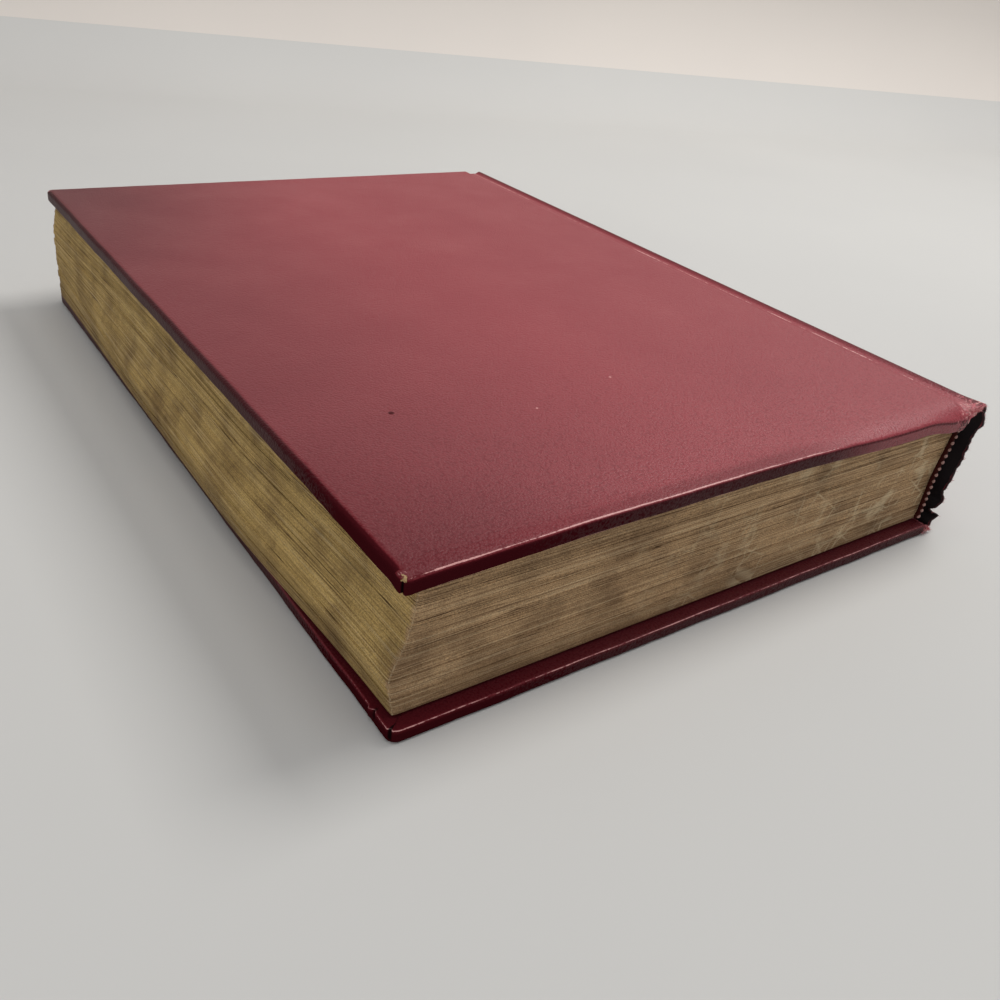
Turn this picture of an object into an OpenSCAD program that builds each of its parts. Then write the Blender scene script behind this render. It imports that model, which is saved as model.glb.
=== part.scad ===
// Leather-bound hardback book lying on its back cover, front cover up.
// +X runs from the fore-edge to the spine, +Y from the head to the tail, +Z up.
// The origin is the centre of the back cover's outer face.

/* [Covers] */
// Height of a cover, head to tail, leather included
cover_h = 254; // [180:1:320]
// Width of a cover from its fore-edge to its spine edge, leather included
cover_w = 175; // [120:1:240]
// Thickness of the millboard
board_t = 2.4; // [1.6:0.1:4]
// Thickness of the covering leather
leather_t = 0.6; // [0.4:0.05:0.9]
// Plan radius of the two fore-edge corners of a cover
corner_r = 2.4; // [1.5:0.1:6]
// Radius of the leather's outer arris
arris_r = 0.9; // [0.3:0.05:1.4]
// Leather turned in over the inner margin of a board
turn_in = 15; // [8:0.5:25]
// Slit where two turn-ins meet in a mitre
mitre_slit = 0.25; // [0.1:0.05:0.6]

/* [Endpapers] */
// Thickness of an endpaper leaf
paper_t = 0.25; // [0.1:0.05:0.5]
// Leather left bare between the pastedown and the edge of the cover
pastedown_margin = 5; // [3:0.5:7]
// Endpaper leaves stop this far short of the text block's edges
flyleaf_inset = 0.3; // [0:0.1:1]

/* [Text block] */
// Thickness of the sewn leaves
block_t = 32.4; // [12:0.2:60]
// Overhang of a cover past the leaves at head and at tail
square = 3.4; // [2:0.1:6]
// Number of gatherings
gatherings = 14; // [6:1:20]
// Depth of the furrow between two gatherings
furrow = 0.35; // [0.1:0.05:0.6]
// Unevenness of the gatherings at the edges
unevenness = 0.25; // [0:0.05:0.5]
// Overhang of the back cover past the lowest leaf at the head
fore_square = 2.4; // [0.5:0.1:5]
// How far the upper leaves lean back towards the spine at the head
fore_lean = 3.8; // [0:0.1:8]
// Swelling of the lower leaves at the fore-edge at the head
fore_belly = 2.8; // [0:0.1:5]
// How far the leaves have crept out over the fore-edge, away from the head
fore_creep = 3.4; // [0:0.1:7]
// How far the leaves stand out past the covers at the tail
tail_out = 0.6; // [0:0.1:4]
// Overhang that the front cover keeps past the top leaf at the tail
tail_square = 1.8; // [0:0.1:5]
// The back of the leaves stands this far past the covers' spine edge at the foot
back_out = 1.1; // [0.4:0.1:3]
// How much further the back of the upper leaves stands out
back_lean = 3; // [0:0.1:5]
// Rounding of the back where it meets the covers
shoulder = 1.2; // [0:0.1:2]

/* [Sewing and lining] */
// Number of sewing tapes
tapes = 4; // [2:1:6]
// Width of a sewing tape
tape_w = 12; // [6:1:20]
// Thickness of a sewing tape
tape_t = 0.4; // [0.2:0.05:0.6]
// Thickness of the cloth lining glued over the tapes
lining_t = 0.3; // [0.15:0.05:0.6]
// The lining stops this far from head and tail
lining_short = 8; // [3:1:20]
// Glue line between pieces that are glued round a curve
glue = 0.05; // [0.02:0.01:0.1]

/* [Endbands] */
// Width of the sewn band across the leaves
band_w = 3; // [2:0.1:5]
// Height of the sewn band above the leaves
band_h = 2.1; // [1:0.1:2.8]
// Length of one pair of a pale and a dark bead
bead_pitch = 1.95; // [1.5:0.05:3]
// Height of the beads' swelling
bead_swell = 0.16; // [0.05:0.01:0.3]

/* [Spine] */
// Outer face of the spine past the covers' spine edge, at the foot
spine_out = 5.6; // [5:0.1:9]
// How much further the spine stands out at the front cover
spine_lean = 1.6; // [0:0.1:4]
// Rounding of the spine
spine_round = 0.7; // [0:0.1:5]
// Radius of the lip where the spine turns into the joint
lip_r = 1.3; // [0.9:0.1:2]
// Depth of the joint's groove below the face of the cover
groove_d = 1.3; // [1:0.1:2]
// Thickness of the card that stiffens the spine
inlay_t = 0.5; // [0.3:0.05:0.8]
// Leather torn away from the spine's head
torn_off = 0.9; // [0.3:0.1:3]
// Raggedness of the torn head
ragged = 0.15; // [0:0.05:1]
// Depth of the torn notch at the head
tear_depth = 2; // [0:0.1:6]
// Height of the torn notch above the table
tear_at = 6.1; // [5:0.1:12]
// Width of the torn notch
tear_w = 0.9; // [0.8:0.1:3]
// How far the torn head curls out under the front cover
curl_out = 4.3; // [0:0.1:6]
// Height of the curl above the table
curl_at = 36; // [28:0.1:38]
// Half the height of the curl
curl_h = 6; // [2:0.1:8]
// The curl fades away over this length of the spine
curl_run = 8; // [4:0.5:20]

/* [Hinge] */
// Distance from a cover's spine edge to its hinge line
hinge_out = 3; // [2.5:0.1:3.4]
// Depth of the hinge line below the cover's outer face
hinge_drop = 0.3; // [0.2:0.05:0.4]
// Clearance between pieces that move past each other
play = 0.3; // [0.2:0.05:0.4]

/* [Hidden] */
$fn = 32;
// Steps in a small arc
arc_steps = 5;
// Steps along the curl of the spine's head
curl_steps = 6;
// Stations of the text block from head to tail
stations = 14;
// Sides of an endband
band_sides = 10;

cover_t = board_t + 2 * leather_t;
edge_x = cover_w / 2;
half_h = cover_h / 2;
block_z = cover_t + 2 * paper_t + play;
block_top = block_z + block_t;
total_t = block_top + block_z;
block_y = half_h - square;
hinge_x = edge_x + hinge_out;
// The lip lies below the opened cover's face by the play
lip_drop = 2 * hinge_drop + play;
lip_low = max(groove_d, lip_drop);

leather_colour = [0.45, 0.16, 0.19];
page_colour = [0.62, 0.52, 0.36];
paper_colour = [0.80, 0.74, 0.60];
board_colour = [0.55, 0.48, 0.38];
lining_colour = [0.72, 0.68, 0.56];
inlay_colour = [0.08, 0.06, 0.07];
band_colour = [0.66, 0.48, 0.38];

function smooth(t) = let (c = min(max(t, 0), 1)) c * c * (3 - 2 * c);
function bump(t, at, w) = exp(-pow((t - at) / w, 2));
function last(list) = list[len(list) - 1];
function reversed(list) = [for (i = [len(list) - 1:-1:0]) list[i]];
function part_of(list, a, b) = [for (i = [a:b]) list[i]];
function arc(cx, cy, r, a, b) =
    [for (i = [0:arc_steps]) let (t = a + (b - a) * i / arc_steps) [cx + r * cos(t), cy + r * sin(t)]];

// A path moved sideways, to the left of its own direction
function heading(path, i) =
    let (a = path[max(i - 1, 0)], b = path[min(i + 1, len(path) - 1)]) (b - a) / norm(b - a);
function moved(path, d) =
    [for (i = [0:len(path) - 1]) let (h = heading(path, i)) path[i] + d * [-h[1], h[0]]];
function strip(path, d0, d1) = concat(moved(path, d0), reversed(moved(path, d1)));

// An outline in X and Z drawn out along Y, and one in Y and Z drawn out along X
module along_y(y0, y1) {
    translate([0, y1, 0]) rotate([90, 0, 0]) linear_extrude(y1 - y0) children();
}
module along_x(x0, x1) {
    translate([x0, 0, 0]) rotate([90, 0, 90]) linear_extrude(x1 - x0) children();
}
module box(low, high) {
    translate(low) cube(high - low);
}
// A front piece is its back piece turned over
module as_front() {
    translate([0, 0, total_t]) mirror([0, 0, 1]) children();
}

// A skin between rings of equally many points; a cap's faces index the first ring's points.
// The two faces of a strip are cut along the same diagonals, so strips can lie flush
module skin(rings, cap) {
    m = len(rings[0]);
    n = len(rings);
    sides = [
        for (j = [0:n - 2], k = [0:m - 1])
            let (a = j * m + k, b = j * m + (k + 1) % m)
                each k < m / 2 ? [[a, b, b + m], [a, b + m, a + m]] : [[a, b, a + m], [b, b + m, a + m]]
    ];
    foot = [for (face = cap) reversed(face)];
    head = [for (face = cap) [for (k = face) (n - 1) * m + k]];
    polyhedron([for (r = rings) each r], concat(foot, sides, head));
}
// Both caps are fans that spread from the ring's last point
module lofted(rings) {
    m = len(rings[0]);
    skin(rings, [for (k = [0:m - 3]) [m - 1, k, k + 1]]);
}

// Text block: u runs up its thickness from 0 to 1, v from head to tail
function head_edge(u) = fore_square + fore_lean * u - fore_belly * bump(u, 0.28, 0.22);
function tail_edge(u) = (tail_out + tail_square) * pow(u, 6) - tail_out;
function fore_x(u, v) =
    let (tailward = smooth((v - 0.55) / 0.45))
    -edge_x + (head_edge(u) - fore_creep * smooth(v / 0.35)) * (1 - tailward) + tail_edge(u) * tailward;
function back_x(u) =
    edge_x + back_out + back_lean * smooth((u - 0.35) / 0.6)
    - shoulder * (bump(u, 0, 0.05) + bump(u, 1, 0.05));
function leaf_outline(u, inset) =
    let (y = block_y - inset)
    concat(
        [for (i = [0:stations]) let (v = i / stations) [fore_x(u, v) + inset, -y + 2 * y * v]],
        [[back_x(u) - inset, y], [back_x(u) - inset, -y]]
    );
function gathering_z(i) =
    i <= 0 ? block_z : i >= gatherings ? block_top :
    block_z + block_t / gatherings * (i + 0.22 * sin(i * 137));
function leaf_ring(z, inset) =
    [for (p = leaf_outline((z - block_z) / block_t, inset)) [p[0], p[1], z]];
function gathering_rings(i) =
    let (
        z0 = gathering_z(i),
        h = gathering_z(i + 1) - z0,
        proud = unevenness * (0.5 + 0.5 * sin(i * 211))
    )
    [
        leaf_ring(z0, i == 0 ? proud : furrow + proud),
        leaf_ring(z0 + 0.28 * h, proud),
        leaf_ring(z0 + 0.72 * h, proud)
    ];

module text_block() {
    rings = [for (i = [0:gatherings - 1]) each gathering_rings(i)];
    color(page_colour) lofted(concat(rings, [leaf_ring(block_top, unevenness)]));
}

module flyleaf(u) {
    linear_extrude(paper_t) polygon(leaf_outline(u, unevenness + flyleaf_inset));
}
module front_flyleaf() {
    color(paper_colour) translate([0, 0, block_top]) flyleaf(1);
}
module back_flyleaf() {
    color(paper_colour) translate([0, 0, block_z - paper_t]) flyleaf(0);
}

// Endband: a sewn roll of beads that follows the back of the leaves
band_in = band_w / 2 + 0.3;
band_pairs = floor(block_t / bead_pitch);
band_foot = block_z + (block_t - band_pairs * bead_pitch) / 2;
function bead_rise(q) = bead_swell * (0.5 - 0.5 * cos(360 * q));
function band_ring(q, y) =
    let (
        z = band_foot + q * bead_pitch,
        cx = back_x((z - block_z) / block_t) - band_in,
        grown = bead_rise(2 * q) - bead_swell
    )
    [
        for (k = [0:band_sides - 1])
            let (a = -360 * (k + 0.5) / band_sides)
                [cx + (band_w / 2 + grown) * cos(a), y + (band_h / 2 + grown) * sin(a), z]
    ];
module endband(y) {
    lofted([for (i = [0:8 * band_pairs]) if (i % 2 == 0) band_ring(i / 8, y)]);
}
band_y = block_y + glue + band_h / 2;
module head_band() {
    color(band_colour) endband(-band_y);
}
module tail_band() {
    color(band_colour) endband(band_y);
}

// Tapes and lining lie on the back of the leaves
back_path = [for (i = [0:24]) let (u = 0.06 + 0.88 * i / 24) [back_x(u), block_z + block_t * u]];
module sewing_tapes() {
    gap = 2 * block_y / tapes;
    color(lining_colour)
        for (i = [0:tapes - 1])
            let (y = -block_y + gap * (i + 0.5))
                along_y(y - tape_w / 2, y + tape_w / 2) polygon(strip(back_path, -glue, -glue - tape_t));
}
module spine_lining() {
    over = glue + tape_t;
    color(lining_colour)
        along_y(lining_short - block_y, block_y - lining_short)
            polygon(strip(back_path, -over, -over - lining_t));
}

// Spine: its outer face from the back joint's groove round to the front one's
function wall_x(z) =
    edge_x + spine_out + spine_lean * smooth((z / total_t - 0.3) / 0.5)
    + spine_round * sin(180 * z / total_t);
wall_steps = 32;
lip_z = lip_drop + lip_r;
wall_path = [
    for (i = [0:wall_steps])
        let (z = lip_z + (total_t - 2 * lip_z) * i / wall_steps) [wall_x(z), z]
];
low_lip = arc(wall_path[0][0] - lip_r, lip_z, lip_r, -90, 0);
high_lip = arc(last(wall_path)[0] - lip_r, total_t - lip_z, lip_r, 0, 90);
groove_end = hinge_x + play / 2;
groove_turn = groove_end + play;
spine_path = concat(
    [[groove_end, lip_low], [groove_turn, lip_low]],
    part_of(low_lip, 0, arc_steps - 1), wall_path, part_of(high_lip, 1, arc_steps),
    [[groove_turn, total_t - lip_low], [groove_end, total_t - lip_low]]
);
wall_first = 2 + arc_steps;
wall_last = wall_first + wall_steps;
function wall_strip(d0, d1) =
    concat(
        part_of(moved(spine_path, d0), wall_first, wall_last),
        reversed(part_of(moved(spine_path, d1), wall_first, wall_last))
    );

// The head of the spine is torn off unevenly, with one deep notch
function torn_y(z) =
    -half_h + torn_off + ragged * (sin(z * 61) + 0.6 * sin(z * 149))
    + tear_depth * bump(z, tear_at, tear_w);
// It stands out from the leaves in a high curl and a lower, weaker one; the joint stays where it is
function curl(p, y) =
    curl_out * (bump(p[1], curl_at, curl_h) + 0.5 * bump(p[1], 0.65 * curl_at, 1.5 * curl_h))
    * smooth(1 - (y + half_h) / curl_run) * smooth((p[0] - groove_end) / (2 * lip_r));
// A strip of the spine from its torn head to y1; its points lie in pairs across it, and so do its caps
module torn_strip(outline, y1) {
    m = len(outline);
    curl_end = -half_h + torn_off + tear_depth + curl_run;
    head = [
        for (i = [0:curl_steps]) [
            for (p = outline)
                let (y = torn_y(p[1]) + (curl_end - torn_y(p[1])) * i / curl_steps)
                    [p[0] + curl(p, y), y, p[1]]
        ]
    ];
    tail = [for (p = outline) [p[0], y1, p[1]]];
    skin(
        concat(head, [tail]),
        [for (k = [0:m / 2 - 2]) each [[k, k + 1, m - 1 - k], [k + 1, m - 2 - k, m - 1 - k]]]
    );
}

module spine_inlay() {
    color(inlay_colour) torn_strip(wall_strip(leather_t, leather_t + inlay_t), half_h - 2 * leather_t);
}
module spine_leather() {
    folded = leather_t + inlay_t;
    color(leather_colour) {
        torn_strip(strip(spine_path, 0, leather_t), half_h);
        // At the tail the leather folds over the card and runs back inside it
        along_y(half_h - 2 * leather_t, half_h) polygon(wall_strip(leather_t / 2, folded + leather_t));
        along_y(half_h - turn_in, half_h) polygon(wall_strip(folded, folded + leather_t));
    }
}

// Cover, drawn as the back one: outer face at z = 0, inner face up
module plan(inset) {
    r = corner_r - inset;
    x = -edge_x + inset;
    y = half_h - inset;
    polygon(concat(
        arc(x + r, r - y, r, 270, 180), arc(x + r, y - r, r, 180, 90), [[edge_x, y], [edge_x, -y]]
    ));
}
module board() {
    translate([0, 0, leather_t]) linear_extrude(board_t) plan(leather_t);
}
// The covered board's outer form, with a soft arris round the outer face
module covered() {
    r = arris_r;
    x = -edge_x;
    y = half_h;
    intersection() {
        linear_extrude(cover_t) plan(0);
        along_y(-y, y) polygon(concat(arc(x + r, r, r, 180, 270), [[edge_x, 0], [edge_x, cover_t], [x, cover_t]]));
        along_x(x, edge_x)
            polygon(concat(arc(r - y, r, r, 180, 270), arc(y - r, r, r, 270, 360), [[y, cover_t], [-y, cover_t]]));
    }
}
module joint_flap() {
    lap = 1;
    along_y(arris_r - half_h, half_h - arris_r)
        polygon([
            [edge_x - lap, 0], [edge_x, 0], [hinge_x - play / 2, groove_d],
            [hinge_x - play / 2, groove_d + leather_t], [edge_x, leather_t], [edge_x - lap, leather_t]
        ]);
}
module mitre(side) {
    translate([-edge_x, side * half_h, cover_t - leather_t / 2])
        rotate([0, 0, -side * 45])
            translate([corner_r, -mitre_slit / 2, 0])
                cube([turn_in * sqrt(2) - corner_r + mitre_slit, mitre_slit, leather_t]);
}
module cover_leather() {
    difference() {
        union() {
            covered();
            joint_flap();
        }
        board();
        box(
            [turn_in - edge_x, turn_in - half_h, leather_t + board_t / 2],
            [edge_x + 1, half_h - turn_in, cover_t + 1]
        );
        mitre(1);
        mitre(-1);
    }
}
// The pastedown dips from the turned-in leather to the bare board
module pastedown() {
    face = leather_t + board_t;
    m = pastedown_margin;
    difference() {
        union() {
            box([m - edge_x, m - half_h, cover_t], [edge_x, half_h - m, cover_t + paper_t]);
            box([turn_in - edge_x, turn_in - half_h, face], [edge_x, half_h - turn_in, cover_t]);
        }
        box(
            [turn_in + paper_t - edge_x, turn_in + paper_t - half_h, face + paper_t],
            [edge_x + 1, half_h - turn_in - paper_t, cover_t + 1]
        );
    }
}

module back_board() {
    color(board_colour) board();
}
module back_leather() {
    color(leather_colour) cover_leather();
}
module back_pastedown() {
    color(paper_colour) pastedown();
}
module front_board() {
    color(board_colour) as_front() board();
}
module front_leather() {
    color(leather_colour) as_front() cover_leather();
}
module front_pastedown() {
    color(paper_colour) as_front() pastedown();
}

text_block();
front_flyleaf();
back_flyleaf();
head_band();
tail_band();
sewing_tapes();
spine_lining();
spine_inlay();
spine_leather();
front_board();
front_leather();
front_pastedown();
back_board();
back_leather();
back_pastedown();
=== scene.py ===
"""An old leather-bound hardback book: its leather, leaves, endpapers and endbands, and a plain studio.

Lengths in this file are in millimetres, and turn into metres where a mesh is made.
+X runs from the fore-edge to the spine, +Y from the head to the tail, and +Z is up.
"""

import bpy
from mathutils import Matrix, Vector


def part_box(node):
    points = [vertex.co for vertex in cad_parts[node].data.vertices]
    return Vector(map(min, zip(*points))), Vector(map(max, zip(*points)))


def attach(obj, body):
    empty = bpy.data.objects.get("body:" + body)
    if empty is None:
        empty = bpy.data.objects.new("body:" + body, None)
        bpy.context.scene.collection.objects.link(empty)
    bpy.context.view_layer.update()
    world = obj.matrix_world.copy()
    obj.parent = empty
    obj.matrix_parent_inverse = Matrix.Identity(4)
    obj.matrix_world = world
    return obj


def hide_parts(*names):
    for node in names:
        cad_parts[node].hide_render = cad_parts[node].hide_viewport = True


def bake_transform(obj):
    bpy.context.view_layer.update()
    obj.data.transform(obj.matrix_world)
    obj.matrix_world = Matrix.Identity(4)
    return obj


bl_info = {
    "name": "Leather-bound book",
    "version": (1, 0, 0),
    "blender": (4, 5, 0),
    "location": "3D View > Sidebar > Book",
    "description": "Makes the leather, leaves, endpapers and endbands of an old hardback book",
    "category": "Mesh",
}

import math
from functools import partial
from types import SimpleNamespace

import bmesh
import bpy
import numpy as np
from mathutils import Matrix, Vector

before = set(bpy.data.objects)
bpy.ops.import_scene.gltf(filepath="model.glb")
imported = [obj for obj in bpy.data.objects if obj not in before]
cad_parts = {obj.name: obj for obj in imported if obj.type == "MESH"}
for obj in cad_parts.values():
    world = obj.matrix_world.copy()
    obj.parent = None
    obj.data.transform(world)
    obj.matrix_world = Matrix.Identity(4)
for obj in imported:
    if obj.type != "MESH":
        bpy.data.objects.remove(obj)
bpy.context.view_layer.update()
MM = 0.001


def box_mm(node):
    """A node's lowest and highest corners, in millimetres."""
    low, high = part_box(node)
    return np.array(low) / MM, np.array(high) / MM


LEATHER_HIGH = box_mm("back_leather")[1]
BOARD_LOW, BOARD_HIGH = box_mm("back_board")
LEAVES_LOW, LEAVES_HIGH = box_mm("text_block")
FRONT_HIGH = box_mm("front_leather")[1]


def colour(code):
    """An sRGB hex colour as the linear one that Blender works in."""
    parts = [int(code[i:i + 2], 16) / 255 for i in (0, 2, 4)]
    return [c / 12.92 if c <= 0.04045 else ((c + 0.055) / 1.055) ** 2.4 for c in parts]


def length(name, description, millimetres):
    """A panel value for a length."""
    return bpy.props.FloatProperty(
        name=name, description=description, default=millimetres * MM, unit="LENGTH", precision=5
    )


def paint(name, description, code):
    """A panel value for a colour."""
    return bpy.props.FloatVectorProperty(
        name=name, description=description, default=colour(code), min=0, max=1, subtype="COLOR"
    )


class BookSizes(bpy.types.PropertyGroup):
    """Lengths of the book."""

    edge_x: length("Spine edge", "Spine edge of a cover, from the middle of the book", BOARD_HIGH[0])
    half_h: length("Half height", "Half the height of a cover", LEATHER_HIGH[1])
    cover_t: length("Cover", "Thickness of a covered board", LEATHER_HIGH[2])
    total_t: length("Book", "Thickness of the closed book", FRONT_HIGH[2])
    leather_t: length("Leather", "Thickness of the leather", BOARD_LOW[2])
    arris_r: length("Arris", "Rounding of the leather's outer arris", 0.9)
    inner_r: length("Inner arris", "Rounding where the leather turns in", 0.45)
    corner_r: length("Corner", "Rounding of a cover's fore-edge corners", 2.4)
    turn_in: length("Turn-in", "Leather turned in over the inside of a board", 15)
    groove_d: length("Groove", "Depth of the joint's groove", 1.1)
    lip_drop: length("Lip", "Depth of the spine's lip below the cover's face", 0.4)
    lip_r: length("Lip rounding", "Radius of the spine's lips", 1.3)
    spine_out: length("Spine", "Spine's outer face past the covers' spine edge", 5.6)
    spine_lean: length("Spine lean", "How much further the spine stands out at the front", 1.6)
    spine_round: length("Spine rounding", "Swelling of the spine", 0.7)
    tear_depth: length("Tear", "Depth of the torn notch in the spine's head", 2)
    inlay_t: length("Inlay", "Thickness of the card inside the spine", 0.5)
    block_z: length("Leaves' foot", "Height of the lowest leaf", LEAVES_LOW[2])
    block_top: length("Leaves' top", "Height of the highest leaf", LEAVES_HIGH[2])
    block_y: length("Leaves' half height", "Half the height of the leaves", 123.6)
    paper_t: length("Endpaper", "Thickness of an endpaper", 0.25)
    paste_margin: length("Leather margin", "Leather left bare round a pastedown", 5)
    furrow: length("Furrow", "Depth of the furrow between two gatherings", 0.35)
    unevenness: length("Unevenness", "Unevenness of the gatherings", 0.25)
    band_w: length("Endband width", "Width of an endband across the leaves", 3)
    band_h: length("Endband height", "Height of an endband above the leaves", 2.1)
    bead_pitch: length("Bead pitch", "Length of one pale and one dark bead", 1.95)
    gatherings: bpy.props.IntProperty(
        name="Gatherings", description="Number of gatherings", default=14, min=4, max=24
    )
    folds: bpy.props.IntProperty(
        name="Leaves", description="Bundles of leaves drawn in a gathering", default=6, min=2, max=8
    )


class BookColours(bpy.types.PropertyGroup):
    """Colours of the book and of the studio."""

    leather: paint("Leather", "Dyed leather", "92313a")
    # Dark leather is also the colour of painted shade: on the boards' sides, towards the fore-edge and
    # between the grain
    leather_dark: paint("Dark leather", "Leather soiled by handling, and at its edges", "3c0f14")
    # Rubbed leather is also the colour of painted highlights along the arrises and the joint
    rubbed_leather_and_highlight: paint("Rubbed leather", "Leather rubbed along its arrises", "d39d99")
    suede: paint("Torn leather", "Inside of the leather where it is torn", "b8636a")
    board: paint("Board", "Millboard", "a58a62")
    page: paint("Leaves", "Edges of the leaves", "c9a67b")
    page_dark: paint("Soiled leaves", "Soiled edges of the leaves", "553a22")
    page_pale: paint("Scuffed leaves", "Scuffed edges of the leaves", "dcc9a4")
    fore_edge: paint("Fore-edge", "Olive tone of the fore-edge", "cbab68")
    endpaper: paint("Endpaper", "Endpaper", "c2b597")
    band_pale: paint("Pale thread", "Pale thread of the endbands", "cca49f")
    band_dark: paint("Dark thread", "Dark thread of the endbands", "340b08")
    # Near-black inlay, which also stands for painted shade inside the spine
    inlay: paint("Inlay", "Card inside the spine", "12090b")
    linen: paint("Linen", "Tapes and lining", "a59878")
    floor: paint("Floor", "Plain floor", "c6c5c2")
    wall: paint("Wall", "Plain backdrop", "d6cfc8")


def measures(context):
    """The panel's lengths in millimetres, and its counts."""
    sizes = context.scene.book_sizes
    values = {}
    for key in BookSizes.__annotations__:
        value = getattr(sizes, key)
        values[key] = value if isinstance(value, int) else value / MM
    return SimpleNamespace(**values)


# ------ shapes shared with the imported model

# How far the torn head of the spine stands out, at which height, and over what height. The first two are the
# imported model's, and the others are the curl's sharp crest and small flaps either side of the notch.
CURLS = (
    (4.3, 36, 6), (2.15, 23.4, 9),
    (0.9, 33.4, 1.6), (-0.5, 28.4, 2.0), (-0.5, 15, 3), (1.5, 9.8, 1.3), (2.7, 4.3, 1.0),
)
# Length of the spine over which the curl fades
CURL_LENGTH = 8
# Height of the notch torn in the spine's head
NOTCH_Z = 6.1
# Width of the strip bent down along the front cover's head
DROOP_WIDTH = 5


def smooth(t):
    """0 up to 0, 1 from 1 on, and an S curve between."""
    c = np.clip(t, 0, 1)
    return c * c * (3 - 2 * c)


def bump(t, at, width):
    """A rounded hump with a height of 1."""
    return np.exp(-(((t - at) / width) ** 2))


def ripple(t, period, seed):
    """An uneven smooth line between -1 and 1 along t."""
    draw = np.random.default_rng(seed)
    total = 0.0
    for share, times in ((0.5, 1.0), (0.3, 2.3), (0.2, 5.1)):
        total = total + share * np.sin(2 * np.pi * (times * t / period + draw.random()))
    return total


def head_edge(u):
    """How far the fore-edge stands back at the head, at the share u of the thickness."""
    return 2.4 + 3.8 * u - 2.8 * bump(u, 0.28, 0.22)


def tail_edge(u):
    """How far the fore-edge stands back at the tail, at the share u of the thickness."""
    return 2.4 * u ** 6 - 0.6


def fore_x(m, u, v):
    """Fore-edge of the leaf at the share u of the thickness and v of the height."""
    tailward = smooth((v - 0.55) / 0.45)
    near = head_edge(u) - 3.4 * smooth(v / 0.35)
    return -m.edge_x + near * (1 - tailward) + tail_edge(u) * tailward


def back_x(m, u):
    """Rounded back of the leaf at the share u of the thickness."""
    return m.edge_x + 1.1 + 3 * smooth((u - 0.35) / 0.6) - 1.2 * (bump(u, 0, 0.05) + bump(u, 1, 0.05))


def frontward(m, z):
    """0 at the back of the spine, and 1 towards its front."""
    return smooth((z / m.total_t - 0.3) / 0.5)


def stand_out(m, z):
    """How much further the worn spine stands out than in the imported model."""
    return 1.2 * frontward(m, z)


def wall_x(m, z):
    """Outer face of the spine."""
    swell = m.spine_round * np.sin(np.pi * z / m.total_t)
    return m.edge_x + m.spine_out + m.spine_lean * frontward(m, z) + swell + stand_out(m, z)


def torn_y(m, z):
    """Torn head of the spine."""
    wave = np.sin(np.radians(z * 61)) + 0.6 * np.sin(np.radians(z * 149))
    return -m.half_h + 0.9 + 0.15 * wave + m.tear_depth * bump(z, NOTCH_Z, 0.9)


def curl(m, z, y):
    """How far the torn head of the spine stands out from the leaves."""
    out = sum(share * bump(z, at, width) for share, at, width in CURLS) - stand_out(m, z)
    return out * smooth(1 - (y + m.half_h) / CURL_LENGTH)


def droop(m, x, y):
    """How far the head edge of the front cover is bent down, at its corner and towards the spine."""
    corner = 1.4 * np.clip((-40 - x) / 50, 0, 1) ** 1.5
    back = 1.5 * smooth((x - 15) / 45) + 1.8 * smooth((x - 70) / 16)
    back = back * (1 - smooth((x - 87) / 6))
    return (corner + back) * np.clip((-m.half_h + DROOP_WIDTH - y) / DROOP_WIDTH, 0, 1) ** 1.6


# ------ meshes

# Points that are closer than this become one
MERGE_GAP = 0.002


def make_piece(name, points, faces, materials, marks=None, merge=False, sharp=40):
    """A closed mesh from points in millimetres. Each mark is a number at every point."""
    mesh = bpy.data.meshes.new(name)
    points = np.asarray(points, float)
    mesh.from_pydata((points * MM).tolist(), [], [list(map(int, f)) for f in faces])
    stored = mesh.attributes.new("rest", "FLOAT_VECTOR", "POINT")
    stored.data.foreach_set("vector", points.astype(np.float32).ravel())
    for key, values in (marks or {}).items():
        stored = mesh.attributes.new(key, "FLOAT", "POINT")
        stored.data.foreach_set("value", np.asarray(values, np.float32))
    work = bmesh.new()
    work.from_mesh(mesh)
    if merge:
        bmesh.ops.remove_doubles(work, verts=work.verts, dist=MERGE_GAP * MM)
        rim = [e for e in work.edges if e.is_boundary]
        if rim:
            bmesh.ops.holes_fill(work, edges=rim, sides=0)
    large = [f for f in work.faces if len(f.verts) > 4]
    if large:
        bmesh.ops.triangulate(work, faces=large)
    bmesh.ops.recalc_face_normals(work, faces=work.faces)
    work.to_mesh(mesh)
    work.free()
    for made in materials:
        mesh.materials.append(made)
    mesh.shade_smooth()
    mesh.set_sharp_from_angle(angle=math.radians(sharp))
    piece = bpy.data.objects.new(name, mesh)
    bpy.context.scene.collection.objects.link(piece)
    return piece


def quads(rows, columns, closed=False, offset=0):
    """Faces of a grid of points. A closed one joins its last column to its first."""
    faces = []
    for j in range(rows - 1):
        for i in range(columns if closed else columns - 1):
            a = offset + j * columns + i
            b = offset + j * columns + (i + 1) % columns
            faces.append((a, b, b + columns, a + columns))
    return faces


def lofted(rings):
    """Points and faces of a solid lofted through closed rings of points, with a cap at each end."""
    count = len(rings[0])
    total = count * len(rings)
    faces = quads(len(rings), count, closed=True)
    faces.append(tuple(range(count))[::-1])
    faces.append(tuple(range(total - count, total)))
    return np.concatenate(rings), faces


def with_column(rows, value):
    """Rows of numbers with one more column: one value for all of them, or a value each."""
    return np.column_stack([rows, np.broadcast_to(value, len(rows))])


def stepped(*runs):
    """Values that run from one number to the next in the given number of steps."""
    made = [np.array([runs[0]], float)]
    start = runs[0]
    for end, steps in runs[1:]:
        made.append(np.linspace(start, end, steps + 1)[1:])
        start = end
    return np.concatenate(made)


# ------ covers

# Width of a cover's rim, and from where along the head and the fore-edge its points are squeezed together
INNER_RIM = 8.0
SQUEEZE_X = 60.0
SQUEEZE_Y = 100.0
# X where the leather starts down into the joint, starts to follow the spine's curl, and starts to be torn
JOINT_START = 86.9
CURL_START = 88.4
TEAR_START = 88.2
# Creases along the front joint: X and depth
JOINT_CREASES = ((89.4, 0.16), (91.3, 0.13))


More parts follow.
